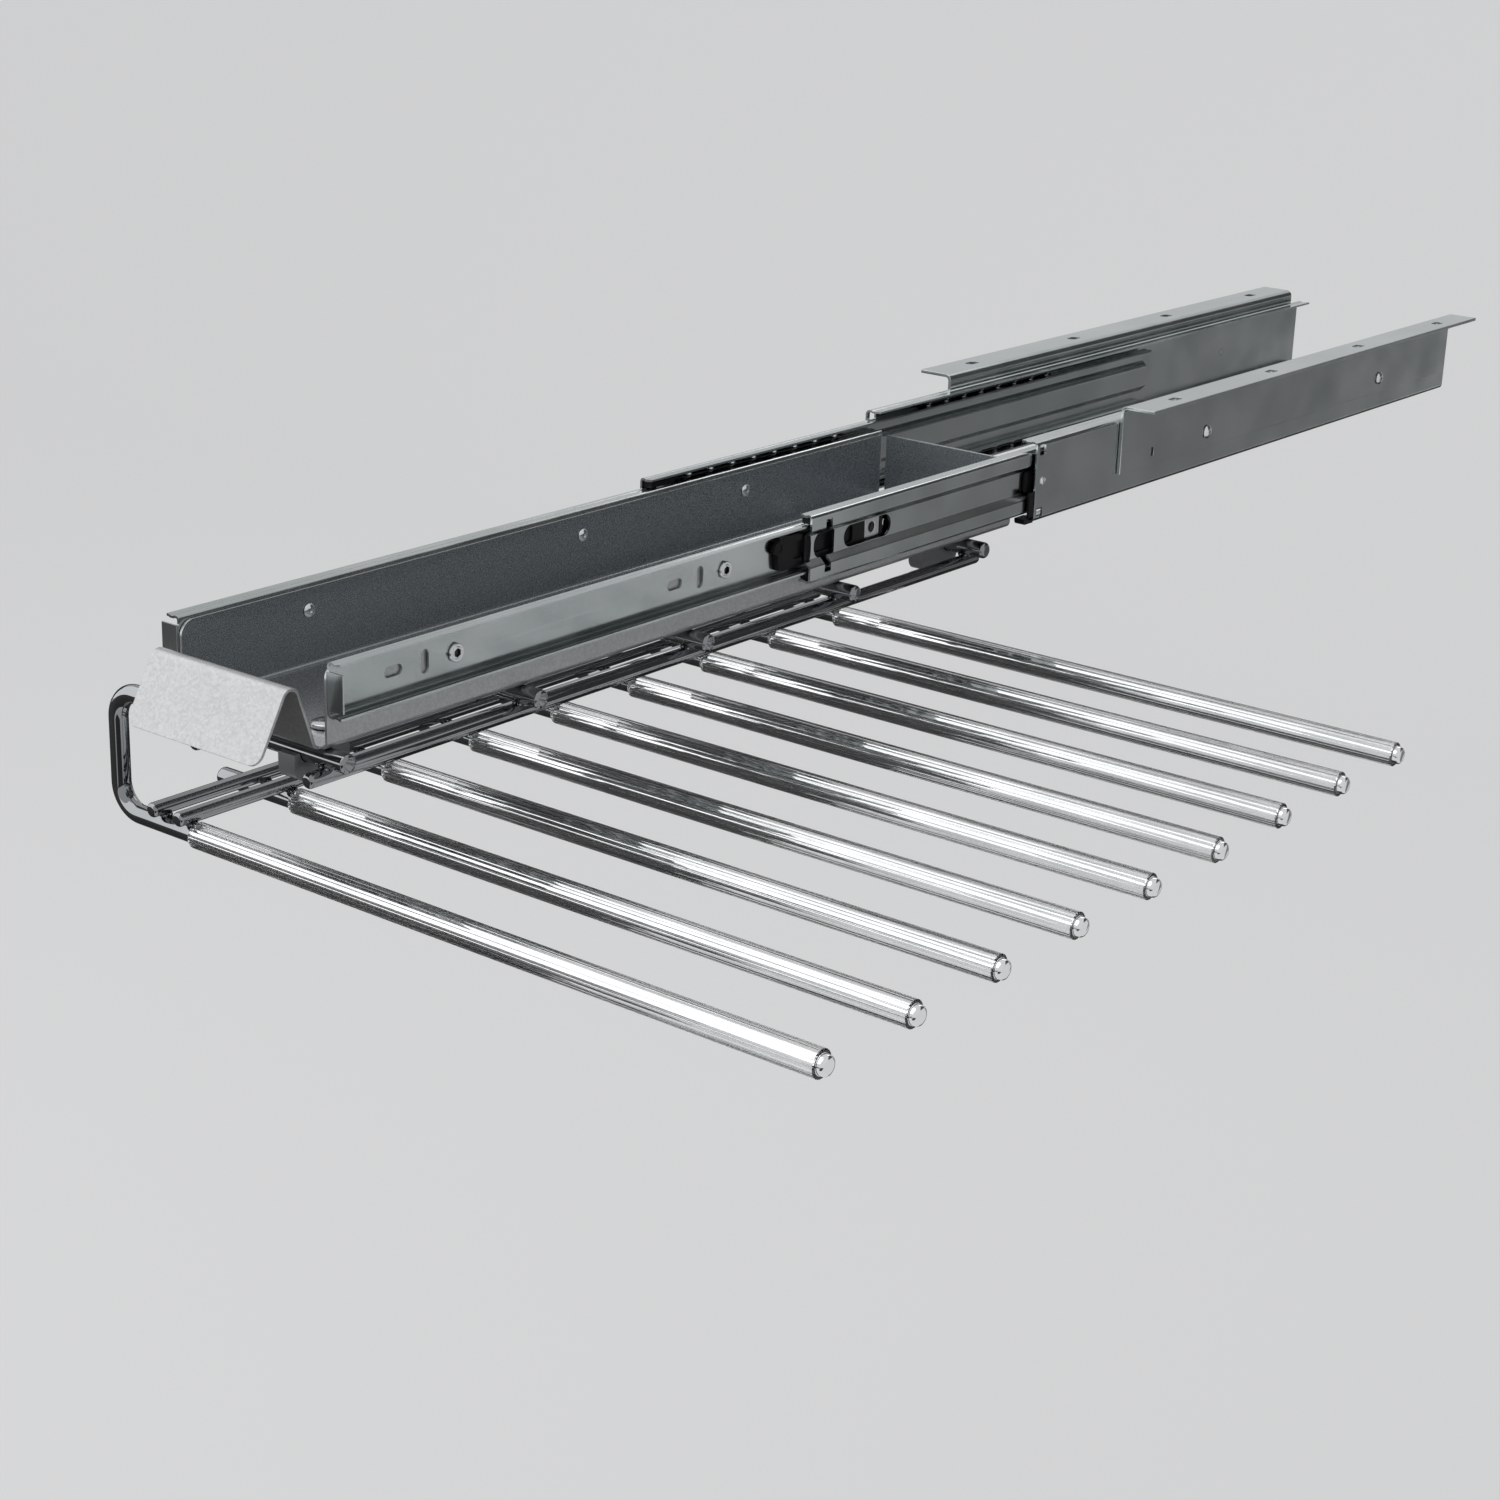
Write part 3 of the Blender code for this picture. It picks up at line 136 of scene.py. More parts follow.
def rounded(points: Sequence[Sequence[float]], radii: Sequence[float], steps: int = 8) -> list[Vector]:
    """Turns each listed corner of an outline into an arc.

    Args:
        points: The corners in order.
        radii: One radius for each corner, or zero to keep it sharp.
        steps: How many chords each arc has.

    Returns:
        The new outline.
    """
    outline: list[Vector] = []
    count = len(points)
    for index, (point, radius) in enumerate(zip(points, radii)):
        corner = Vector(point)
        if not radius:
            outline.append(corner)
            continue
        before = (Vector(points[index - 1]) - corner).normalized()
        after = (Vector(points[(index + 1) % count]) - corner).normalized()
        half = before.angle(after) / 2
        reach = radius / math.tan(half)
        centre = corner + (before + after).normalized() * radius / math.sin(half)
        start = corner + before * reach - centre
        turn = start.angle_signed(corner + after * reach - centre)
        outline += [centre + start @ Matrix.Rotation(turn * step / steps, 2) for step in range(steps + 1)]
    return outline


def ribbon(line: Sequence[Vector], thickness: float) -> list[Vector]:
    """Gives the closed outline of a sheet of even thickness along a centre line.

    Args:
        line: The centre line.
        thickness: The sheet's thickness.

    Returns:
        The outline.
    """
    sides: tuple[list[Vector], list[Vector]] = ([], [])
    last = len(line) - 1
    for index, point in enumerate(line):
        forward = (line[min(index + 1, last)] - line[max(index, 1) - 1]).normalized()
        stretch = 1.0
        if 0 < index < last:
            ahead = (line[index + 1] - point).normalized()
            forward = ((point - line[index - 1]).normalized() + ahead).normalized()
            stretch = 1 / max(forward.dot(ahead), 0.5)
        normal = Vector((-forward.y, forward.x)) * stretch * thickness / 2
        sides[0].append(point + normal)
        sides[1].append(point - normal)
    return sides[0] + sides[1][::-1]


def section(corners: Sequence[Pair], radii: Sequence[float], thickness: float) -> list[Vector]:
    """Gives the closed outline of a symmetrical rolled section.

    Args:
        corners: The corners of the upper half's centre line.
        radii: Their bend radii.
        thickness: The sheet's thickness.

    Returns:
        The outline of the whole section.
    """
    below = [(x, -z) for x, z in reversed(corners)]
    return ribbon(rounded([*corners, *below], (*radii, *reversed(radii))), thickness)


def stadium(length: float, height: float, middle: Pair = (0, 0), steps: int = 10) -> list[Pair]:
    """Gives a slot outline with round ends.

    Args:
        length: The whole length, along the first coordinate.
        height: The height.
        middle: The middle.
        steps: How many chords each end has.

    Returns:
        The outline.
    """
    radius = height / 2
    outline: list[Pair] = []
    for end in (1, -1):
        for step in range(steps + 1):
            angle = math.pi * (step / steps - 0.5)
            along = end * (length / 2 - radius + radius * math.cos(angle))
            outline.append((middle[0] + along, middle[1] + end * radius * math.sin(angle)))
    return outline


def bow(centre: float, reach: float, rise: float, steps: int = 24) -> list[Pair]:
    """Gives half an ellipse, as the front end of an outline.

    Args:
        centre: The first coordinate of the ellipse's middle.
        reach: How far it bulges to the front.
        rise: Half its height.
        steps: How many chords it has.

    Returns:
        The open line.
    """
    angles = [math.pi * (step / steps - 0.5) for step in range(steps + 1)]
    return [(centre - reach * math.cos(angle), rise * math.sin(angle)) for angle in angles]


def block(low: Pair, high: Pair) -> list[Pair]:
    """Gives the outline of a rectangle between two corners."""
    return [low, (high[0], low[1]), high, (low[0], high[1])]


def soft_block(low: Pair, high: Pair, radius: float, steps: int) -> list[Vector]:
    """Gives the outline of a rectangle with four round corners."""
    return rounded(block(low, high), (radius,) * 4, steps)


def turns(steps: int, shift: float = 0.0) -> list[float]:
    """Gives the evenly spread angles of a full turn."""
    return [math.tau * (step + shift) / steps for step in range(steps)]


# Meshes


class Solid:
    """A mesh under construction."""

    def __init__(self, name: str) -> None:
        self.name = name
        self.bm = bmesh.new()

    def row(self, corners: Iterable[Sequence[float]]) -> Row:
        """Adds a row of corners."""
        return [self.bm.verts.new(corner) for corner in corners]

    def strip(self, near: Row, far: Row) -> Row:
        """Joins two open rows of corners, and gives the second."""
        for index in range(len(near) - 1):
            self.bm.faces.new((near[index], near[index + 1], far[index + 1], far[index]))
        return far

    def wall(self, near: Row, far: Row) -> None:
        """Joins two rings of corners."""
        self.strip([*near, near[0]], [*far, far[0]])

    def loft(self, rings: Sequence[Row]) -> "Solid":
        """Joins a row of rings, with a flat face at each end."""
        self.bm.faces.new(rings[0])
        self.bm.faces.new(rings[-1][::-1])
        for near, far in zip(rings, rings[1:]):
            self.wall(near, far)
        return self

    def prism(self, outline: Sequence[Sequence[float]], start: float, end: float, place: Place) -> "Solid":
        """Adds a prism.

        Args:
            outline: The closed flat outline.
            start: The first station.
            end: The last station.
            place: Gives the corner for (u, v, station).

        Returns:
            This solid.
        """
        return self.loft([self.row(place(*point, station) for point in outline) for station in (start, end)])

    def turned(
        self, profile: Sequence[Pair], axis: Axis, centre: Triple = (0, 0, 0), steps: int = 32, way: int = 1
    ) -> "Solid":
        """Adds a solid turned about an axis.

        Args:
            profile: Pairs of station and radius.
            axis: The axis to turn about.
            centre: Where the axis has its zero station.
            steps: How many sides it has.
            way: 1, or -1 to run the stations the other way.

        Returns:
            This solid.
        """
        rings = []
        for station, radius in profile:
            corners = []
            for angle in turns(steps, 0.5):
                across, up = radius * math.cos(angle), radius * math.sin(angle)
                along = way * station
                corner = (along, across, up) if axis is Axis.X else (across, up, along)
                corners.append(Vector(centre) + Vector(corner))
            rings.append(self.row(corners))
        return self.loft(rings)

    def sweep(self, path: Sequence[Vector], radii: Sequence[float], sides: int) -> "Solid":
        """Adds a round wire along a path.

        Args:
            path: The centre line.
            radii: The radius at each point of the path.
            sides: How many sides it has.

        Returns:
            This solid.
        """
        rings = []
        last = len(path) - 1
        normal = (path[1] - path[0]).orthogonal().normalized()
        for index, point in enumerate(path):
            tangent = (path[min(index + 1, last)] - path[max(index - 1, 0)]).normalized()
            normal = (normal - tangent * normal.dot(tangent)).normalized()
            other = tangent.cross(normal)
            spokes = [normal * math.cos(angle) + other * math.sin(angle) for angle in turns(sides)]
            rings.append(self.row(point + spoke * radii[index] for spoke in spokes))
        return self.loft(rings)

    def blob(self, centre: Triple, scale: Triple, segments: int) -> None:
        """Adds a ball, stretched by a scale along each axis."""
        matrix = Matrix.Translation(centre) @ Matrix.Diagonal((*scale, 1))
        bmesh.ops.create_uvsphere(self.bm, u_segments=segments, v_segments=segments // 2, radius=1, matrix=matrix)

    def mesh(self) -> bpy.types.Mesh:
        """Gives the finished mesh, with outward faces, and frees the construction."""
        bmesh.ops.recalc_face_normals(self.bm, faces=self.bm.faces)
        mesh = bpy.data.meshes.new(self.name)
        self.bm.to_mesh(mesh)
        self.bm.free()
        shade(mesh)
        return mesh


def shade(mesh: bpy.types.Mesh, degrees: float = 32.0) -> None:
    """Shades a mesh smooth, with sharp edges where faces meet at more than an angle."""
    mesh.shade_smooth()
    mesh.set_sharp_from_angle(angle=math.radians(degrees))


def linked(name: str, data: bpy.types.ID) -> bpy.types.Object:
    """Makes an object and links it to the scene."""
    item = bpy.data.objects.new(name, data)
    bpy.context.scene.collection.objects.link(item)
    return item


@dataclass(frozen=True)
class Seat:
    """A point on one side of the tray that pieces are measured from, and whether their side view runs to the rear."""

    side: Side
    x: float
    y: float
    z: float
    to_rear: int = 1

    def section(self, u: float, v: float, station: float) -> Triple:
        """Stands a (u out, v up) section at a station along Y."""
        return (self.x + self.side.value * u, self.y + station, self.z + v)

    def flat(self, u: float, v: float, station: float) -> Triple:
        """Lays a (u back, v up) side view at a station out from the tray."""
        return (self.x + self.side.value * station, self.y + self.to_rear * u, self.z + v)

    def turned(
        self, solid: Solid, profile: Sequence[Pair], back: float = 0.0, up: float = 0.0, steps: int = 32
    ) -> Solid:
        """Adds a shape turned about a line that points out from the tray.

        Args:
            solid: The solid to add it to.
            profile: Pairs of station and radius.
            back: How far behind this point the line starts.
            up: How far above it.
            steps: How many sides the shape has.

        Returns:
            The solid.
        """
        return solid.turned(profile, Axis.X, (self.x, self.y + back, self.z + up), steps, self.side.value)

    def bore(
        self, solid: Solid, radius: float, span: Pair, back: float = 0.0, up: float = 0.0, steps: int = 32
    ) -> Solid:
        """Adds a straight round cutter, over a span of stations out from the tray."""
        return self.turned(solid, [(station, radius) for station in span], back, up, steps)


@dataclass(frozen=True)
class Layout:
    """Places and sizes that several assemblies share."""

    mount: Triple = (0.1137, 0.8215, 0.12005)
    gap: float = 0.0003
    rod_pitch: float = 0.060
    rod_count: int = 9
    rod_radius: float = 0.0045
    arm_z: float = 0.0575
    tray_x: float = 0.0434
    tray_width: float = 0.092
    tray_sheet: float = 0.0015
    tray_front: float = -0.004
    tray_rear: float = 0.520
    floor_z: float = 0.0623
    slide_x: float = 0.0463
    slide_z: float = 0.0895
    slide_sheet: float = 0.0012
    slide_thickness: float = 0.0127
    inner_front: float = -0.0037
    inner_length: float = 0.5234
    middle_front: float = 0.317
    middle_length: float = 0.5084
    outer_front: float = 0.520
    lever_y: float = 0.2978
    screw_places: Triple = (0.071, 0.2585, 0.391)
    screw_radius: float = 0.002
    bracket_front: float = 0.6065
    bracket_length: float = 0.430
    bracket_screws: Pair = (0.7065, 0.9365)

    def seat(self, side: Side, y: float) -> Seat:
        """A point on the slide's axis, at the tray side's outer face, where the slide's own section starts."""
        return Seat(side, self.tray_x + side.value * self.slide_x, y, self.slide_z)

    @property
    def rack_length(self) -> float:
        """The distance between the first rod and the last."""
        return (self.rod_count - 1) * self.rod_pitch


@dataclass
class Workshop:
    """Makes finished objects out of solids, and puts them on the frame."""

    layout: Layout
    materials: Mapping[Coat, bpy.types.Material]
    bevel_angle: float = 40.0
    level_weight: int = 100

    def make(
        self,
        solid: Solid,
        coats: Sequence[Coat],
        body: Body,
        nodes: Sequence[str] = (),
        joins: Sequence[Solid] = (),
        cuts: Sequence[Solid] = (),
        bevel: float = 0.0,
        thicken: float = 0.0,
        inside: Callable[[Vector], bool] | None = None,
        at: Triple = (0, 0, 0),
    ) -> bpy.types.Object:
        """Makes one object.

        Args:
            solid: Its main shape.
            coats: Its finishes. The second is for faces chosen by inside.
            body: The body that it rides on.
            nodes: The CAD nodes that it stands for.
            joins: Shapes to join on.
            cuts: Shapes to cut away.
            bevel: The width of the rounded edges.
            thicken: The sheet's thickness, for a solid that is only a surface.
            inside: Says for a face's centre whether it gets the second finish.
            at: An offset of the whole object.

        Returns:
            The object.
        """
        item = linked(solid.name, solid.mesh())
        if thicken:
            self._apply(item, "SOLIDIFY", thickness=thicken, offset=-1, use_even_offset=True)
        for operation, tools in (("UNION", joins), ("DIFFERENCE", cuts)):
            for tool in tools:
                other = linked("tool", tool.mesh())
                self._apply(item, "BOOLEAN", operation=operation, object=other)
                bpy.data.objects.remove(other, do_unlink=True)
        if bevel:
            limit = math.radians(self.bevel_angle)
            self._apply(item, "BEVEL", width=bevel, segments=2, limit_method="ANGLE", angle_limit=limit)
        shade(item.data)
        if bevel:
            self._apply(item, "WEIGHTED_NORMAL", mode="FACE_AREA", weight=self.level_weight, keep_sharp=True)
        for coat in coats:
            item.data.materials.append(self.materials[coat])
        for face in item.data.polygons:
            face.material_index = 1 if inside and inside(face.center) else 0
        return self.place(item, coats[0], body, nodes, at)

    def place(
        self, item: bpy.types.Object, coat: Coat, body: Body, nodes: Sequence[str], at: Triple
    ) -> bpy.types.Object:
        """Puts an object on its body, and hides the imported nodes that it stands for."""
        item.location = Vector(at) - Vector(self.layout.mount)
        LOG.info("placed %s on %s", item.name, body.value)
        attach(item, body.value)
        if nodes:
            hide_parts(*nodes)
        coat.slot
        return item

    def repeat(self, first: bpy.types.Object, name: str, coat: Coat, body: Body, at: Triple) -> None:
        """Places one more object that shares the first one's mesh."""
        self.place(linked(name, first.data), coat, body, (name,), at)

    @staticmethod
    def _apply(item: bpy.types.Object, kind: str, **settings: object) -> None:
        """Gives an object a modifier, and turns its result into the mesh."""
        modifier = item.modifiers.new(kind.lower(), kind)
        for key, value in settings.items():
            setattr(modifier, key, value)
        bpy.context.view_layer.update()
        graph = bpy.context.evaluated_depsgraph_get()
        mesh = bpy.data.meshes.new_from_object(item.evaluated_get(graph))
        item.modifiers.clear()
        item.data = mesh
        mesh.name = item.name


# Finishes


class Graph:
    """Short ways to fill a node tree."""

    def __init__(self, tree: bpy.types.NodeTree) -> None:
        self.tree = tree

    def add(self, kind: str, inputs: Mapping[str | int, object] | None = None, **settings: object) -> bpy.types.Node:
        """Adds a node.

        Args:
            kind: The node's type.
            inputs: For each socket a constant, or the socket that feeds it.
            **settings: The node's own properties.

        Returns:
            The node.
        """
        node = self.tree.nodes.new(kind)
        for key, value in settings.items():
            setattr(node, key, value)
        self.feed(node, inputs or {})
        return node

    def feed(self, node: bpy.types.Node, inputs: Mapping[str | int, object]) -> None:
        """Gives each named socket of a node its constant, or the socket that feeds it."""
        for key, value in inputs.items():
            if isinstance(value, bpy.types.NodeSocket):
                self.tree.links.new(value, node.inputs[key])
            else:
                node.inputs[key].default_value = value

    def use(
        self, group: bpy.types.NodeTree, inputs: Mapping[str, object], output: str = "Value"
    ) -> bpy.types.NodeSocket:
        """Adds a shared group with its inputs, and gives one of its outputs."""
        return self.add("ShaderNodeGroup", inputs, node_tree=group).outputs[output]

    def blend(self, share: object, first: object, second: object, **settings: object) -> bpy.types.NodeSocket:
        """Gives a blend of two colours."""
        inputs = {0: share, 6: first, 7: second}
        return self.add("ShaderNodeMix", inputs, data_type="RGBA", **settings).outputs[2]

    def maths(self, operation: str, *values: object) -> bpy.types.NodeSocket:
        """Gives the result of one operation on up to three values."""
        return self.add("ShaderNodeMath", dict(enumerate(values)), operation=operation).outputs[0]

    def span(
        self, value: bpy.types.NodeSocket, low: float, high: float, bottom: object, top: object
    ) -> bpy.types.NodeSocket:
        """Gives a value whose range from low to high is moved to another range."""
        return self.add("ShaderNodeMapRange", {0: value, 1: low, 2: high, 3: bottom, 4: top}).outputs[0]

    def noise(self, **inputs: object) -> bpy.types.NodeSocket:
        """Gives a noise texture's value."""
        return self.add("ShaderNodeTexNoise", inputs).outputs["Fac"]

    def surface_place(self) -> bpy.types.NodeSocket:
        """Gives the object's own coordinates."""
        return self.add("ShaderNodeTexCoord").outputs["Object"]


class Effects:
    """The node groups that the finishes share."""

    def __init__(self) -> None:
        self.clouds = self._clouds()
        self.grain = self._grain()
        self.speckle = self._speckle()
        self.worn_edge = self._worn_edge()

    @staticmethod
    def _group(
        name: str, inputs: Mapping[str, object], outputs: Mapping[str, str]
    ) -> tuple[Graph, bpy.types.NodeOutputs, bpy.types.Node]:
        """Makes an empty group, and gives its graph, the sockets of its inputs and its output node."""
        tree = bpy.data.node_groups.new(name, "ShaderNodeTree")
        for label, value in inputs.items():
            kind = "Float" if isinstance(value, float) else {3: "Vector", 4: "Color"}[len(value)]
            socket = tree.interface.new_socket(label, in_out="INPUT", socket_type=f"NodeSocket{kind}")
            socket.default_value = value
        for label, kind in outputs.items():
            tree.interface.new_socket(label, in_out="OUTPUT", socket_type=f"NodeSocket{kind}")
        graph = Graph(tree)
        return graph, graph.add("NodeGroupInput").outputs, graph.add("NodeGroupOutput")

    def _clouds(self) -> bpy.types.NodeTree:
        """Soft uneven patches between a low and a high value."""
        graph, given, result = self._group("clouds", {"Scale": 20.0, "Low": 0.0, "High": 1.0}, {"Value": "Float"})
        noise = graph.noise(Vector=graph.surface_place(), Scale=given["Scale"], Detail=4.0)
        graph.feed(result, {"Value": graph.span(noise, 0.35, 0.65, given["Low"], given["High"])})
        return graph.tree

    def _grain(self) -> bpy.types.NodeTree:
        """Fine marks, stretched along an axis, as a value and as a bumped normal."""
        inputs = {"Stretch": (1.0, 1.0, 1.0), "Scale": 500.0, "Strength": 0.1, "Depth": 0.0002}
        graph, given, result = self._group("grain", inputs, {"Value": "Float", "Normal": "Vector"})
        mapping = graph.add("ShaderNodeMapping", {"Vector": graph.surface_place(), "Scale": given["Stretch"]})
        noise = graph.noise(Vector=mapping.outputs["Vector"], Scale=given["Scale"], Detail=3.0, Roughness=0.6)
        bump = {"Strength": given["Strength"], "Distance": given["Depth"], "Height": noise}
        graph.feed(result, {"Value": noise, "Normal": graph.add("ShaderNodeBump", bump).outputs["Normal"]})
        return graph.tree

    def _speckle(self) -> bpy.types.NodeTree:
        """A colour broken up by small crystals and by larger pale patches."""
        inputs = {"Dark": (0.2, 0.2, 0.2, 1.0), "Light": (0.6, 0.6, 0.6, 1.0), "Scale": 700.0}
        graph, given, result = self._group("speckle", inputs, {"Color": "Color", "Value": "Float"})
        place = graph.surface_place()
        cells = graph.add("ShaderNodeTexVoronoi", {"Vector": place, "Scale": given["Scale"]})
        tone = graph.add("ShaderNodeSeparateColor", {"Color": cells.outputs["Color"]})
        patch = graph.noise(Vector=place, Scale=90.0, Detail=5.0)
        spread = graph.span(graph.maths("MULTIPLY_ADD", patch, 0.35, tone.outputs[0]), 0.1, 1.25, 0.0, 1.0)
        graph.feed(result, {"Color": graph.blend(spread, given["Dark"], given["Light"]), "Value": spread})
        return graph.tree

    def _worn_edge(self) -> bpy.types.NodeTree:
        """A colour that turns to bare metal on the sharpest edges."""
        inputs = {"Color": (0.5, 0.5, 0.5, 1.0), "Edge": (0.8, 0.8, 0.8, 1.0), "Amount": 0.5}
        graph, given, result = self._group("worn edge", inputs, {"Color": "Color"})
        shape = graph.add("ShaderNodeNewGeometry")
        edge = graph.span(shape.outputs["Pointiness"], 0.52, 0.60, 0.0, 1.0)
        share = graph.maths("MULTIPLY", edge, given["Amount"])
        graph.feed(result, {"Color": graph.blend(share, given["Color"], given["Edge"])})
        return graph.tree


def opaque(colour: Triple, share: float = 1.0) -> tuple[float, float, float, float]:
    """Gives a share of a colour its alpha."""
    return (*(value * share for value in colour), 1.0)


def blank(name: str) -> tuple[bpy.types.Material, Graph, bpy.types.Node]:
    """Makes a material with a plain Principled shader, and gives it with its graph and its shader."""
    material = bpy.data.materials.new(name)
    material.use_nodes = True
    return material, Graph(material.node_tree), material.node_tree.nodes["Principled BSDF"]


@dataclass(frozen=True)
class Finish:
    """What all finishes share: two tones, a range of roughness and a fine grain."""

    name: str
    dark: Triple
    light: Triple
    roughness: Pair
    grain_strength: float
    grain_scale: float = 900.0
    grain_depth: float = 0.0001
    stretch: Triple = (1.0, 1.0, 1.0)

    def material(self, effects: Effects) -> bpy.types.Material:
        """Builds the material.

        Args:
            effects: The shared node groups.

        Returns:
            The material.
        """
        material, graph, shader = blank(self.name)
        marks = {"Stretch": self.stretch, "Scale": self.grain_scale, "Strength": self.grain_strength}
        marks["Depth"] = self.grain_depth
        grain = graph.add("ShaderNodeGroup", marks, node_tree=effects.grain)
        colour, gloss = self.tones(graph, effects, grain.outputs["Value"])
        graph.feed(shader, {"Base Color": colour, "Roughness": gloss, "Normal": grain.outputs["Normal"]})
        graph.feed(shader, self.constants())
        return material

    def tones(
        self, graph: Graph, effects: Effects, grain: bpy.types.NodeSocket
    ) -> tuple[bpy.types.NodeSocket, bpy.types.NodeSocket]:
        """Gives the sockets of the colour and of the roughness."""
        raise NotImplementedError

    def constants(self) -> dict[str, float]:
        """Gives the shader's even values."""
        raise NotImplementedError


@dataclass(frozen=True)
class Metal(Finish):
    """Bare or plated metal with streaks or smudges in its gloss."""

    grain_scale: float = 600.0
    cloud_scale: float = 30.0
    edge: float = 0.3
    grain_share: float = 0.15

    def tones(
        self, graph: Graph, effects: Effects, grain: bpy.types.NodeSocket
    ) -> tuple[bpy.types.NodeSocket, bpy.types.NodeSocket]:
        """Gives patches of two tones with worn edges, and patches of gloss."""
        tone = graph.use(effects.clouds, {"Scale": self.cloud_scale, "Low": 0.0, "High": 1.0})
        share = graph.add("ShaderNodeMix", {0: self.grain_share, 2: tone, 3: grain}).outputs[0]
        mix = graph.blend(share, opaque(self.dark), opaque(self.light))
        wear = {"Color": mix, "Edge": opaque(self.light), "Amount": self.edge}
        shine = {"Scale": self.cloud_scale * 2, "Low": self.roughness[0], "High": self.roughness[1]}
        return graph.use(effects.worn_edge, wear, "Color"), graph.use(effects.clouds, shine)

    def constants(self) -> dict[str, float]:
        """Gives the shader's even values."""
        return {"Metallic": 1.0}


@dataclass(frozen=True)
class Coating(Finish):
    """Speckled coating on sheet steel."""

    grain_scale: float = 1400.0
    metallic: float = 0.8
    speckle_scale: float = 900.0
    edge: Triple = (0.75, 0.76, 0.77)
    wear: float = 0.6

    def tones(
        self, graph: Graph, effects: Effects, grain: bpy.types.NodeSocket
    ) -> tuple[bpy.types.NodeSocket, bpy.types.NodeSocket]:
        """Gives a speckled colour with worn edges, with more gloss on its pale speckles."""
        specks = {"Dark": opaque(self.dark), "Light": opaque(self.light), "Scale": self.speckle_scale}
        colour = graph.add("ShaderNodeGroup", specks, node_tree=effects.speckle)
        wear = {"Color": colour.outputs["Color"], "Edge": opaque(self.edge), "Amount": self.wear}
        gloss = graph.span(colour.outputs["Value"], 0.0, 1.0, self.roughness[1], self.roughness[0])
        return graph.use(effects.worn_edge, wear, "Color"), gloss

    def constants(self) -> dict[str, float]:
        """Gives the shader's even values."""
        return {"Metallic": self.metallic}


@dataclass(frozen=True)
class Plastic(Finish):
    """Moulded plastic, black or clear."""

    transmission: float = 0.0
    specular: float = 0.5
    ior: float = 1.47
    gloss_scale: float = 60.0
    tint_scale: float = 25.0

    def tones(
        self, graph: Graph, effects: Effects, grain: bpy.types.NodeSocket
    ) -> tuple[bpy.types.NodeSocket, bpy.types.NodeSocket]:
        """Gives patches of two tones, and patches of gloss."""
        tint = graph.use(effects.clouds, {"Scale": self.tint_scale, "Low": 0.0, "High": 1.0})
        shine = {"Scale": self.gloss_scale, "Low": self.roughness[0], "High": self.roughness[1]}
        return graph.blend(tint, opaque(self.dark), opaque(self.light)), graph.use(effects.clouds, shine)

    def constants(self) -> dict[str, float]:
        """Gives the shader's even values."""
        return {"Transmission Weight": self.transmission, "IOR": self.ior, "Specular IOR Level": self.specular}


ALONG = (12.0, 0.15, 12.0)
COAT_FINISHES = {
    Coat.CHROME: Metal(
        "chrome plating", (0.86, 0.87, 0.88), (0.93, 0.935, 0.94), (0.03, 0.05), 0.002, cloud_scale=25.0
    ),
    # Darker copy of the chrome for the wires, the welds and the rods outside their sleeves: painted shade and dark
    # reflections.
    Coat.BARE: Metal(
        "smoked chrome plating", (0.27, 0.28, 0.29), (0.35, 0.36, 0.37), (0.03, 0.06), 0.003, cloud_scale=25.0
    ),
    Coat.SLEEVE: Plastic(
        "clear sleeve",
        (0.882, 0.8865, 0.8865),
        (0.98, 0.985, 0.985),
        (0.02, 0.04),
        0.002,
        stretch=(0.02, 1.0, 1.0),
        transmission=1.0,
    ),
    Coat.TRAY: Coating("silver coating", (0.32, 0.325, 0.33), (0.43, 0.435, 0.44), (0.30, 0.35), 0.06),
    # The tray's coating again, bluish and smoother, on its inside faces: painted shade and dark reflections.
    Coat.TRAY_INSIDE: Coating(
        "silver coating, inside",
        (0.34, 0.36, 0.375),
        (0.355, 0.375, 0.39),
        (0.27, 0.275),
        0.004,
        metallic=0.9,
        speckle_scale=1500.0,
    ),
    Coat.SLATE: Coating(
        "slate coating", (0.012, 0.015, 0.018), (0.022, 0.026, 0.030), (0.28, 0.36), 0.03, metallic=0.2
    ),
    Coat.ZINC: Metal(
        "zinc plating",
        (0.47, 0.505, 0.51),
        (0.61, 0.64, 0.64),
        (0.15, 0.22),
        0.01,
        stretch=ALONG,
        grain_scale=80.0,
        cloud_scale=14.0,
    ),
    # Dark steel for the ball strips, also used as painted shade in screw sockets and in the peep hole.
    Coat.STRIP: Metal(
        "dark strip", (0.04, 0.045, 0.05), (0.10, 0.105, 0.11), (0.25, 0.4), 0.08, stretch=ALONG, grain_scale=80.0
    ),
    Coat.PLASTIC: Plastic(
        "black plastic", (0.0054, 0.0054, 0.0063), (0.006, 0.006, 0.007), (0.30, 0.42), 0.1, specular=0.18
    ),
    Coat.SCREW: Metal("screw steel", (0.68, 0.69, 0.70), (0.80, 0.81, 0.82), (0.12, 0.20), 0.02),
}


def finishes() -> dict[Coat, bpy.types.Material]:
    """Builds every finish once."""
    effects = Effects()
    return {coat: finish.material(effects) for coat, finish in COAT_FINISHES.items()}


# Assemblies


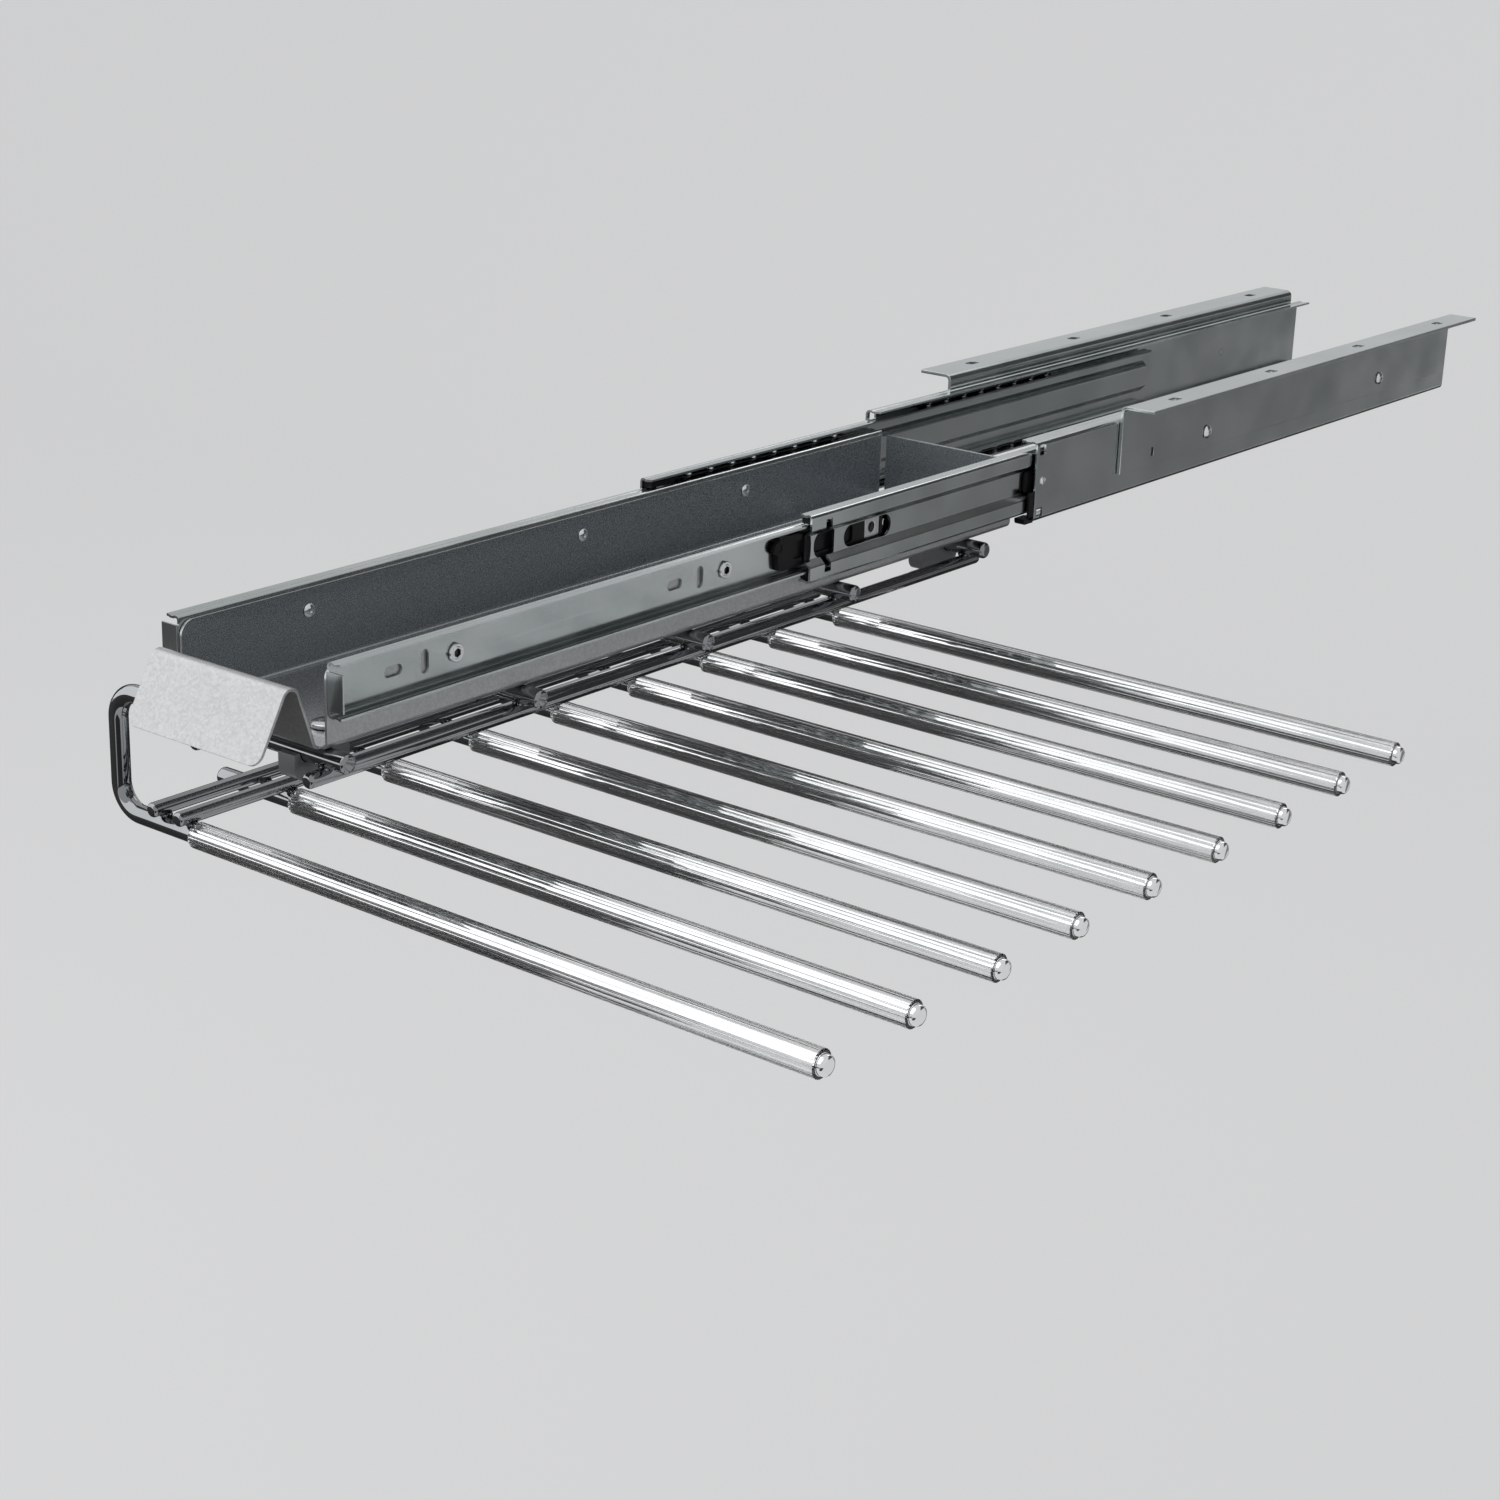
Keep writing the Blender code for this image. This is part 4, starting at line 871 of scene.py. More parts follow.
@dataclass
class WireFrame:
    """The rods with their sleeves, the cross wires and their welds."""

    sleeve_length: float = 0.350
    sleeve_radius: float = 0.00625
    sleeve_bore: float = 0.0048
    sleeve_edge: Pair = (0.0004, 0.0006)
    flute_depth: float = 0.00022
    flute_count: int = 26
    flute_steps: int = 8
    tip: float = 0.0035
    bend_reach: float = 0.0513
    bend_radius: float = 0.0135
    arm_reach: float = 0.0985
    wire_radius: float = 0.0035
    wire_sides: int = 40
    end_rounding: float = 0.0018
    lower_wires: Named = (("lower_wire_left", -0.0215), ("lower_wire_right", -0.004))
    upper_wires: Named = (("upper_wire_left", 0.0125), ("upper_wire_right", 0.084))
    lower_overhang: float = 0.0085
    upper_overhang: float = 0.0115
    weld_spread: Pair = (0.0017, 0.0015)
    weld_size: Triple = (0.0013, 0.0012, 0.0008)

    def build(self, shop: Workshop) -> None:
        """Builds the whole wire frame.

        Args:
            shop: Where finished objects are made.
        """
        layout = shop.layout
        free, near = self.sleeve_length + self.tip, -self.bend_reach
        corners = [(free, 0), (near, 0), (near, layout.arm_z), (self.arm_reach, layout.arm_z)]
        bends = rounded(corners, (0, self.bend_radius, self.bend_radius, 0), 14)
        tip, *hairpin = (Vector((point.x, 0, point.y)) for point in bends)
        first = []
        for index, path in enumerate((hairpin, [Vector((near, 0, 0))])):
            at = (0, index * layout.rod_pitch, 0)
            solid = self._rod(f"rod_{index + 1}", [tip, Vector(), *path], layout.rod_radius)
            # Rod faces outside the sleeve get the darker chrome: painted shade.
            coats = (Coat.CHROME, Coat.BARE)
            first.append(shop.make(solid, coats, Body.RACK, (solid.name,), inside=self._bare, at=at))
        sleeve = shop.make(self._sleeve(), (Coat.SLEEVE,), Body.RACK, ("sleeve_1",))
        for index in range(1, layout.rod_count):
            at = (0, index * layout.rod_pitch, 0)
            shop.repeat(sleeve, f"sleeve_{index + 1}", Coat.SLEEVE, Body.RACK, at)
            if index > 1:
                shop.repeat(first[index % 2], f"rod_{index + 1}", Coat.CHROME, Body.RACK, at)
        self._wires(shop)
        self._welds(shop)

    def _bare(self, centre: Vector) -> bool:
        """Says whether a face of a rod lies outside its sleeve, where the darker chrome paints shade."""
        return centre.x < 0 or centre.z > 2 * self.sleeve_radius

    def _rod(self, name: str, path: Sequence[Vector], radius: float) -> Solid:
        """A round wire with rounded ends."""
        ease = [math.pi / 8 * step for step in range(5)]
        inset = [self.end_rounding * (1 - math.cos(angle)) for angle in ease]
        sizes = [radius - self.end_rounding * (1 - math.sin(angle)) for angle in ease]
        into = (path[1] - path[0]).normalized()
        back = (path[-2] - path[-1]).normalized()
        points = [path[0] + into * value for value in inset] + list(path[1:-1])
        points += [path[-1] + back * value for value in reversed(inset)]
        radii = [*sizes, *[radius] * (len(path) - 2), *reversed(sizes)]
        return Solid(name).sweep(points, radii, self.wire_sides)

    def _sleeve(self) -> Solid:
        """A clear tube with rounded flutes along its outside."""
        solid = Solid("sleeve_1")
        ease, less = self.sleeve_edge
        end = self.sleeve_length
        angles = turns(self.flute_steps * self.flute_count)
        flutes = [self.flute_depth * (0.5 - 0.5 * math.cos(angle * self.flute_count)) ** 3 for angle in angles]
        outer = [(angle, self.sleeve_radius - flute) for angle, flute in zip(angles, flutes)]
        inner = [(angle, self.sleeve_bore) for angle in angles]
        stations = [(0, outer, less), (ease, outer, 0), (end - ease, outer, 0), (end, outer, less)]
        stations += [(end, inner, 0), (0, inner, 0)]
        rings = []
        for station, shape, cut in stations:
            rings.append(solid.row((station, (r - cut) * math.cos(a), (r - cut) * math.sin(a)) for a, r in shape))
        for near, far in zip(rings, rings[1:] + rings[:1]):
            solid.wall(near, far)
        return solid

    def _wires(self, shop: Workshop) -> None:
        """The four wires across the rods."""
        layout = shop.layout
        seat = layout.rod_radius + layout.gap + self.wire_radius
        rows = [(name, x, seat, self.lower_overhang) for name, x in self.lower_wires]
        rows += [(name, x, layout.arm_z - seat, self.upper_overhang) for name, x in self.upper_wires]
        for name, x, z, overhang in rows:
            path = [Vector((x, -overhang, z)), Vector((x, layout.rack_length + overhang, z))]
            # The wires get the darker chrome: painted shade.
            shop.make(self._rod(name, path, self.wire_radius), (Coat.BARE,), Body.RACK, (name,))

    def _welds(self, shop: Workshop) -> None:
        """Small weld beads where wires and rods cross."""
        layout = shop.layout
        solid = Solid("welds")
        seam = layout.rod_radius + layout.gap / 2
        for index in range(layout.rod_count):
            y = index * layout.rod_pitch
            places = [(x, seam) for _, x in self.lower_wires]
            if index % 2 == 0:
                places += [(x, layout.arm_z - seam) for _, x in self.upper_wires]
            for x, z in places:
                for across, along in ((-1, -1), (1, -1), (-1, 1), (1, 1)):
                    centre = (x + across * self.weld_spread[0], y + along * self.weld_spread[1], z)
                    solid.blob(centre, self.weld_size, 12)
        # The welds get the darker chrome: painted shade.
        shop.make(solid, (Coat.BARE,), Body.RACK)


@dataclass
class Tray:
    """The folded sheet with its handle, and the fasteners that go through it."""

    bend: float = 0.0035
    wall_height: float = 0.0378
    corner: float = 0.007
    rear_cut: float = 0.0042
    handle_width: float = 0.083
    handle_height: float = 0.0344
    handle_foot: float = 0.0032
    handle_rise: float = 0.0117
    handle_fall: float = 0.0190
    handle_drop: float = 0.0348
    handle_corner: float = 0.006
    handle_crest: float = 0.0037
    bolt_radius: float = 0.003
    bolt_head: float = 0.00725
    bolt_end: float = -0.0165
    bolt_tip: float = 0.0026
    bolt_bore: float = 0.0033
    bolt_to_arm: float = 0.0155
    clamp_offsets: Named = (("left", -0.0165), ("right", 0.0251))
    socket_radius: float = 0.0023
    clamp_width: float = 0.010
    clamp_wall: float = 0.0036
    clamp_floor: float = 0.0076
    clamp_corner: float = 0.0058
    clamp_pad: float = 0.0085
    screw_head: float = 0.0034
    screw_socket: float = 0.0022
    screw_recess: float = 0.0012
    collar: float = 0.0043
    collar_height: float = 0.0013

    def build(self, shop: Workshop) -> None:
        """Builds the tray, its clamps, bolts and screws.

        Args:
            shop: Where finished objects are made.
        """
        layout = shop.layout
        half, sheet = layout.tray_width / 2, layout.tray_sheet
        skin = 0.8 * sheet

        def inside(centre: Vector) -> bool:
            """Says whether a face is on the tray's inside, which gets the coating's painted-shade copy."""
            return (
                layout.tray_front < centre.y < layout.tray_rear - skin
                and centre.z > layout.floor_z + skin
                and abs(centre.x - layout.tray_x) < half - skin
            )

        corners = Solid("corners")
        outline = [(-self.rear_cut, -sheet), (sheet, -sheet), (sheet, self.rear_cut), (0.0, self.rear_cut)]
        for side in Side:
            seat = Seat(side, layout.tray_x, layout.tray_rear, layout.floor_z)
            corners.prism(outline, half - 1.2 * sheet, half + sheet, seat.flat)
        # Inside faces get the second coating: painted shade.
        coats = (Coat.TRAY, Coat.TRAY_INSIDE)
        cuts = (self._holes(layout), corners)
        tray = self._sheet(layout)
        shop.make(tray, coats, Body.RACK, ("tray",), cuts=cuts, bevel=0.0003, thicken=sheet, inside=inside)
        self._clamps(shop)
        self._screws(shop)

    def _sheet(self, layout: Layout) -> Solid:
        """The sheet's lower surface."""
        solid = Solid("tray")
        half, grip = layout.tray_width / 2, self.handle_width / 2
        flat = half - self.bend
        front_y, rear_y = layout.tray_front, layout.tray_rear - self.bend
        columns = (-flat, -grip, grip, flat)

        def row(across: Sequence[float], y: float, z: float) -> Row:
            """Adds a row of corners, measured from the middle of the tray's underside."""
            return solid.row((layout.tray_x + x, y, layout.floor_z + z) for x in across)

        front, rear = row(columns, front_y, 0), row(columns, rear_y, 0)
        solid.strip(front, rear)
        angles = [math.pi / 20 * step for step in range(1, 11)]
        curve = [(self.bend * math.sin(angle), self.bend * (1 - math.cos(angle))) for angle in angles]
        for side, edge in ((-1, 0), (1, 3)):
            low = [front[edge], rear[edge]]
            for reach, rise in curve:
                x = (side * (flat + reach),)
                low = solid.strip(low, row(x, front_y, rise) + row(x, rear_y, rise))
            wall = [(front_y, self.wall_height), (rear_y, self.wall_height), (rear_y, self.bend), (front_y, self.bend)]
            edge_line = rounded(wall, (self.corner, 0, 0, 0), 12)[:-2]
            upper = solid.row((layout.tray_x + side * half, point.x, layout.floor_z + point.y) for point in edge_line)
            solid.bm.faces.new((low[0], *upper, low[1]))
        last = rear
        for reach, rise in curve:
            last = solid.strip(last, row(columns, rear_y + reach, rise))
        solid.strip(last, row(columns, layout.tray_rear, self.wall_height))
        self._handle(solid, front[1:3], front_y, row)
        return solid

    def _handle(
        self, solid: Solid, last: Row, start: float, row: Callable[[Sequence[float], float, float], Row]
    ) -> None:
        """Bends the handle from the front edge of the tray's floor.

        Args:
            solid: The tray's surface.
            last: The two corners that the handle starts from.
            start: The front edge's Y.
            row: Adds a row of corners.
        """
        grip = self.handle_width / 2
        foot = start - self.handle_foot
        crest = foot - self.handle_rise
        end = (crest - self.handle_fall, self.handle_height - self.handle_drop)
        corners = [(start, 0), (foot, 0), (crest, self.handle_height), end]
        line = rounded(corners, (0, self.bend, self.handle_crest, 0), 12)
        for point in line[1:-1]:
            last = solid.strip(last, row((-grip, grip), point.x, point.y))
        above, below = line[-2:]
        length = (below - above).length
        tip = [(-grip, 0), (-grip, length), (grip, length), (grip, 0)]
        ring = []
        for point in rounded(tip, (0, self.handle_corner, self.handle_corner, 0), 12)[1:-1]:
            place = above.lerp(below, point.y / length)
            ring += row((point.x,), place.x, place.y)
        solid.bm.faces.new((last[0], *ring, last[1]))

    def _bolts(self, layout: Layout) -> list[tuple[str, Seat, Triple]]:
        """Each clamp's name, its seat on its arm and the place of its bolt."""
        rows = []
        for end, y, to_rear in (("front", 0.0, 1), ("rear", layout.rack_length, -1)):
            for side, offset in self.clamp_offsets:
                x = layout.tray_x + offset
                bolt = (x, y + to_rear * self.bolt_to_arm, layout.floor_z)
                rows.append((f"{end}_{side}", Seat(Side.RIGHT, x, y, layout.arm_z, to_rear), bolt))
        return rows

    def _holes(self, layout: Layout) -> Solid:
        """Cutters for the screws and the bolts."""
        solid = Solid("holes")
        for side in Side:
            x = layout.tray_x + side.value * (layout.tray_width - layout.tray_sheet) / 2
            for y in layout.screw_places:
                Seat(side, x, y, layout.slide_z).bore(solid, layout.screw_radius + layout.gap, (-0.003, 0.003))
        radius = self.bolt_radius + layout.gap
        for _, _, bolt in self._bolts(layout):
            solid.turned([(-0.003, radius), (0.004, radius)], Axis.Z, bolt)
        return solid

    def _clamps(self, shop: Workshop) -> None:
        """The clamps under the arms and their bolts."""
        layout = shop.layout
        inner = layout.rod_radius + layout.gap
        outer, bottom = inner + self.clamp_wall, inner + self.clamp_floor
        far, top = self.bolt_to_arm + self.clamp_pad, layout.rod_radius
        corners = [(-outer, 0), (-outer, -bottom), (far, -bottom), (far, top), (inner, top)]
        outline = rounded(corners, (0, self.clamp_corner, self.clamp_corner, 0, 0), 10)
        angles = [math.pi * step / 24 for step in range(25)]
        outline += [Vector((inner * math.cos(angle), -inner * math.sin(angle))) for angle in angles]
        sheet, head = layout.tray_sheet + layout.gap, self.bolt_head
        end, shank = self.bolt_end, self.bolt_radius
        profile = [(end, self.bolt_tip), (end + 0.0005, shank), (sheet, shank)]
        for rise, less in ((0.0, 0.0003), (0.0003, 0.0), (0.0013, 0.0), (0.0018, 0.0003), (0.0022, 0.0012)):
            profile.append((sheet + rise, head - less))
        for name, seat, bolt in self._bolts(layout):
            body = Solid(f"clamp_{name}").prism(outline, -self.clamp_width / 2, self.clamp_width / 2, seat.flat)
            bore = Solid("bore").turned([(-0.03, self.bolt_bore), (0.002, self.bolt_bore)], Axis.Z, bolt)
            shop.make(body, (Coat.SLATE,), Body.RACK, (body.name,), cuts=(bore,), bevel=0.0005)
            hexagon = [(0.0024, self.socket_radius), (0.01, self.socket_radius)]
            socket = Solid("socket").turned(hexagon, Axis.Z, bolt, 6)
            screw = Solid(f"floor_bolt_{name}").turned(profile, Axis.Z, bolt, 40)
            shop.make(screw, (Coat.SCREW,), Body.RACK, (screw.name,), cuts=(socket,))

    def _screws(self, shop: Workshop) -> None:
        """The screws between the tray's walls and the inner members."""
        layout = shop.layout
        inside = -layout.tray_sheet - layout.gap
        outside = layout.slide_sheet + 2 * layout.gap
        head, shank, collar = self.screw_head, layout.screw_radius, self.collar
        face = outside + self.collar_height
        angles = (0.25, 0.5, 0.8, 1.1, 1.35, 1.5708)
        profile = [(inside - 0.0016 * math.cos(angle), head * math.sin(angle)) for angle in angles]
        profile += [(inside, shank), (outside, shank), (outside, collar - 0.0002), (outside + 0.0002, collar)]
        profile += [(face - 0.0003, collar), (face, collar - 0.0003), (face, 0.0029), (face + 0.0002, 0.0026)]
        for side in Side:
            for index, y in enumerate(layout.screw_places):
                seat = Seat(side, layout.tray_x + side.value * layout.tray_width / 2, y, layout.slide_z)
                body = seat.turned(Solid(f"tray_screw_{side.label}_{index + 1}"), profile)
                socket = seat.bore(Solid("socket"), self.screw_socket, (face - 0.0009, face + 0.002), steps=6)
                recess = seat.bore(Solid("recess"), self.screw_recess, (inside - 0.004, inside - 0.0007), steps=6)

                def in_socket_shade(middle: Vector) -> bool:
                    """Says whether a face lies in the hexagon, where the dark finish paints the socket's shade."""
                    depth = side.value * (middle.x - seat.x)
                    reach = math.hypot(middle.y - seat.y, middle.z - seat.z)
                    return 0 < depth < face - 0.0002 and reach < self.socket_radius

                # The socket's faces get the dark finish: painted shade in the recess.
                coats = (Coat.SCREW, Coat.STRIP)
                shop.make(body, coats, Body.RACK, (body.name,), cuts=(socket, recess), inside=in_socket_shade)


@dataclass
class Slides:
    """Both ball slides with their strips, caps, levers and stops."""

    outer_height: float = 0.0455
    middle_height: float = 0.0355
    inner_height: float = 0.025
    groove: float = 0.00045
    soft: float = 0.0009
    flange: float = 0.008
    tab_reach: float = 0.0103
    tab_height: float = 0.017
    tip: float = 0.0028
    web_x: float = 0.0056
    band_x: float = 0.009
    ledge_top: float = 0.00966
    ledge_foot: float = 0.00646
    screw_hole: float = 0.0023
    pin_hole: float = 0.0021
    slot: Pair = (0.011, 0.005)
    slot_steps: Pair = (0.0375, 0.0185)
    oval: Pair = (0.041, 0.0116)
    oval_back: float = 0.0525
    window: tuple[float, ...] = (0.0107, 0.0042, 0.0062, 0.0237)
    scoop: tuple[float, ...] = (0.0028, -0.0014, 0.0070, -0.002)
    notch: tuple[Pair, Pair] = ((0.012, 0.0056), (0.0173, 0.0138))
    opening_cut: Pair = (0.003, 0.009)
    stop_hole: Pair = (0.0042, 0.0035)
    stop_back: float = 0.007
    square_side: float = 0.006
    square_place: Pair = (0.0055, 0.018)
    boss_rise: float = 0.0035
    peep_back: float = 0.0790
    peep_radius: float = 0.0028
    strip_length: float = 0.145
    strip_sheet: float = 0.0005
    ball_count: int = 8
    ball_row: float = 0.129

    def build(self, shop: Workshop) -> None:
        """Builds both slides.

        Args:
            shop: Where finished objects are made.
        """
        for side in Side:
            for assembly in (self._inner, self._middle, self._outer, self._strips, self._cap, self._lever, self._stop):
                assembly(shop, side)

    @staticmethod
    def _member(
        name: str, seat: Seat, corners: Sequence[Pair], radii: Sequence[float], sheet: float, length: float
    ) -> Solid:
        """A rolled member from the corners and bend radii of its upper half."""
        return Solid(f"{name}_{seat.side.label}").prism(section(corners, radii, sheet), 0, length, seat.section)

    def _inner(self, shop: Workshop, side: Side) -> None:
        """A drawer member."""
        layout = shop.layout
        seat = layout.seat(side, layout.inner_front)
        sheet, half, soft = layout.slide_sheet, layout.slide_sheet / 2, self.soft
        edge = self.inner_height / 2 - half
        low = edge - self.groove
        corners = [(self.flange, edge), (0.0066, edge), (0.0059, low), (0.0037, low), (0.0030, edge), (half, edge)]
        radii = (0, soft, soft, soft, soft, 0.0013)
        body = self._member("slide_inner", seat, corners, radii, sheet, layout.inner_length)
        line = [Vector((half, 0.0048)), Vector((half, -half)), Vector((self.tab_reach, -half))]
        outline = ribbon(rounded(line, (0, 0.0005, 0)), sheet * 0.75)

        def upright(u: float, v: float, station: float) -> Triple:
            """Lays a (u out, v back) plan at a station above the slide's axis."""
            return (seat.x + side.value * u, seat.y + v, seat.z + station)

        tab = Solid("tab").prism(outline, -self.tab_height / 2, self.tab_height / 2, upright)
        holes = Solid("holes")
        base = layout.seat(side, 0)
        through = (-0.002, 0.003)
        for place in layout.screw_places:
            base.bore(holes, self.screw_hole, through, place)
        for place in layout.screw_places[:2]:
            lying = stadium(*self.slot, (place - self.slot_steps[0], 0))
            standing = [(place - self.slot_steps[1] - v, u) for u, v in stadium(*self.slot)]
            for outline in (lying, standing):
                holes.prism(outline, *through, base.flat)
        base.bore(holes, self.pin_hole, through, layout.lever_y, self.boss_rise)
        base.bore(holes, self.peep_radius, through, layout.lever_y + self.peep_back)
        shop.make(body, (Coat.ZINC,), Body.RACK, (body.name,), joins=(tab,), cuts=(holes,), bevel=0.0002)

    def _middle(self, shop: Workshop, side: Side) -> None:
        """An intermediate member with its front openings."""
        layout = shop.layout
        seat = layout.seat(side, layout.middle_front)
        sheet, half, soft = layout.slide_sheet, layout.slide_sheet / 2, self.soft
        edge = self.middle_height / 2 - half
        low, band, web = edge - self.groove, self.band_x + half, self.web_x + half
        corners = [(self.tip, edge - 0.0003), (self.tip + 0.0012, edge), (0.0048, low), (0.0066, low), (0.0074, edge)]
        corners += [(band, edge), (band, self.ledge_top), (web, self.ledge_foot)]
        radii = (0, soft, soft, soft, 0.0006, 0.0015, 0.0011, 0.0011)
        body = self._member("slide_middle", seat, corners, radii, sheet, layout.middle_length)
        outlines = [stadium(*self.oval, (self.oval_back, 0), 16)]
        for centre, reach, rise, back in (self.window, self.scoop):
            outlines.append(bow(centre, reach, rise) + [(back, rise), (back, -rise)])
        holes = Solid("holes")
        for outline in outlines:
            holes.prism(outline, *self.opening_cut, seat.flat)
        slits = Solid("slits")
        for turn in (1, -1):
            corners = ((back, turn * rise) for back, rise in self.notch)
            slits.prism(block(*corners), 0.003, 0.013, seat.flat)
        shop.make(body, (Coat.ZINC,), Body.MIDDLE, (body.name,), cuts=(holes, slits), bevel=0.0003)

    def _outer(self, shop: Workshop, side: Side) -> None:
        """A fixed member with the holes of its front end."""
        layout = shop.layout
        seat = layout.seat(side, layout.outer_front)
        sheet, half, soft = layout.slide_sheet, layout.slide_sheet / 2, self.soft
        edge, web = self.outer_height / 2 - half, layout.slide_thickness - half
        low = edge - self.groove
        corners = [(0.002, edge), (0.0044, edge), (0.0052, low), (0.0080, low), (0.0088, edge), (web, edge)]
        radii = (0, soft, soft, soft, soft, 0.0022)
        body = self._member("slide_outer", seat, corners, radii, sheet, layout.inner_length)
        holes = Solid("holes")
        through = (0.009, 0.015)
        reach, (back, rise) = self.square_side / 2, self.square_place
        for height in (rise, -rise):
            outline = soft_block((back - reach, height - reach), (back + reach, height + reach), 0.0008, 4)
            holes.prism(outline, *through, seat.flat)
        holes.prism(stadium(*self.stop_hole, (self.stop_back, 0)), *through, seat.flat)
        for place in layout.bracket_screws:
            seat.bore(holes, self.screw_hole, through, place - seat.y, steps=24)
        shop.make(body, (Coat.ZINC,), Body.FIXED, (body.name,), cuts=(holes,), bevel=0.0003)

    def _strips(self, shop: Workshop, side: Side) -> None:
        """The ball strips with their balls."""
        layout = shop.layout
        inner, outer = layout.seat(side, layout.middle_front + 0.026), layout.seat(side, layout.outer_front + 0.050)
        folded = [(0.0029, 0.014525), (0.0084, 0.014525), (0.0084, 0.01045), (0.0050, 0.01045)]
        flat = [(0.00535, 0.01965), (0.01085, 0.01965)]
        rows = (
            ("inner", Body.INNER_STRIPS, inner, folded, 0.00565, 0.00195),
            ("outer", Body.OUTER_STRIPS, outer, flat, 0.0081, 0.00185),
        )
        for kind, body, seat, corners, ball_x, ball in rows:
            name = f"ball_strip_{kind}_{side.label}"
            outline = section(corners, (0,) * len(corners), self.strip_sheet)
            solid = Solid(name).prism(outline, 0, self.strip_length, seat.section)
            cuts = []
            if kind == "inner":
                cuts.append(Solid("cut").prism(block((-0.002, -0.0115), (0.060, 0.0115)), 0, 0.007, seat.flat))
            balls = Solid(f"balls_{kind}_{side.label}")
            for race in (corners[0][1], -corners[0][1]):
                for index in range(self.ball_count):
                    back = 0.008 + index * self.ball_row / (self.ball_count - 1)
                    balls.blob(seat.section(ball_x, race, back), (ball,) * 3, 20)
            shop.make(solid, (Coat.STRIP,), body, (name,), cuts=cuts)
            shop.make(balls, (Coat.SCREW,), body)

    def _cap(self, shop: Workshop, side: Side) -> None:
        """The black cap inside the mouth of a middle member."""
        seat = shop.layout.seat(side, shop.layout.middle_front)
        front = [(0.0032, 0.0128), (0.0032, 0.0158), (0.0086, 0.0158), (0.0086, 0.0098), (0.0053, 0.0067)]
        back = [(0.0046, 0.0070), (0.0082, 0.0107), (0.0082, 0.0128)]
        outline = front + [(u, -v) for u, v in reversed(front)] + [(u, -v) for u, v in reversed(back)] + back
        body = Solid(f"slide_cap_{side.label}").prism(outline, 0.0008, 0.004, seat.section)
        leaves = Solid("leaves")
        for low, high in ((0.0131, 0.0155), (-0.0155, -0.0131)):
            leaves.prism(block((0.0012, low), (0.020, high)), 0.0034, 0.0073, seat.flat)
        shop.make(body, (Coat.PLASTIC,), Body.MIDDLE, (body.name,), joins=(leaves,), bevel=0.0001)

    def _lever(self, shop: Workshop, side: Side) -> None:
        """The black release lever on an inner member, with a bright plate in its window as painted highlight, and a
        dark disc of painted shade in the peep hole.
        """
        seat = shop.layout.seat(side, shop.layout.lever_y)
        ride = Body.LEVER_LEFT if side is Side.LEFT else Body.LEVER_RIGHT
        tail = [(0.0085, 0.0085), (0.0882, 0.0075), (0.0882, -0.0075), (0.0085, -0.0085)]
        outline = bow(0.0015, 0.0020, 0.0085) + rounded(tail, (0, 0.003, 0.003, 0), 8)
        body = Solid(f"release_lever_{side.label}").prism(outline, 0.0015, 0.0043, seat.flat)
        profile = ((0.0003, 0.0018), (0.0029, 0.0018), (0.0029, 0.0035), (0.0043, 0.0035), (0.0045, 0.0033))
        boss = seat.turned(Solid("boss"), profile, up=self.boss_rise)
        window = Solid("window").prism(soft_block((0.0726, -0.0061), (0.0858, 0.0061), 0.0006, 3), 0, 0.006, seat.flat)
        outline = soft_block((0.012, -0.0045), (0.062, 0.0045), 0.002, 5)
        pocket = Solid("pocket").prism(outline, 0.0030, 0.006, seat.flat)
        ring = seat.bore(Solid("ring"), 0.0024, (0.0042, 0.0052), up=self.boss_rise, steps=24)
        cuts = (window, pocket, ring)
        shop.make(body, (Coat.PLASTIC,), ride, (body.name,), joins=(boss,), cuts=cuts, bevel=0.0003)
        # A bright steel plate fills the window in place of the zinc web behind it: a painted highlight.
        outline = soft_block((0.0725, -0.0062), (0.0859, 0.0062), 0.0008, 4)
        plate = Solid(f"peep_plate_{side.label}").prism(outline, 0.0016, 0.0040, seat.flat)
        peep = seat.bore(Solid("peep"), self.peep_radius, (-0.002, 0.006), self.peep_back, steps=24)
        shop.make(plate, (Coat.SCREW,), ride, cuts=(peep,), bevel=0.0003)
        # A dark disc in the peep hole: painted shade in the hole.
        floor = Solid(f"peep_floor_{side.label}")
        seat.bore(floor, self.peep_radius - 0.0001, (0.0001, 0.0010), self.peep_back, steps=24)
        shop.make(floor, (Coat.STRIP,), Body.RACK)

    def _stop(self, shop: Workshop, side: Side) -> None:
        """The black stop in the front of an outer member, with its foot and rivet."""
        seat = shop.layout.seat(side, shop.layout.outer_front)
        outline = rounded(block((-0.005, -0.0060), (0.022, 0.0060)), (0.003, 0, 0, 0.003), 8)
        body = Solid(f"slide_stop_{side.label}").prism(outline, 0.0071, 0.0090, seat.flat)
        low = 0.0002 - self.outer_height / 2
        top = low + 0.0032
        foot = [(-0.0095, low + 0.0012), (-0.0083, low), (-0.0002, low), (-0.0002, top), (-0.0095, top)]
        lip = Solid("lip").prism(foot, 0.0062, 0.0124, seat.flat)
        lip.prism(block((-0.0004, -0.005), (-0.005, low + 0.002)), 0.0112, 0.0124, seat.flat)
        shop.make(body, (Coat.PLASTIC,), Body.FIXED, (body.name,), bevel=0.0005)
        shop.make(lip, (Coat.PLASTIC,), Body.FIXED)
        profile = ((0.0088, 0.0016), (0.0127, 0.0016), (0.0127, 0.0024), (0.0132, 0.0022), (0.0135, 0.0012))
        rivet = seat.turned(Solid(f"stop_rivet_{side.label}"), profile, self.stop_back)
        shop.make(rivet, (Coat.SCREW,), Body.FIXED)


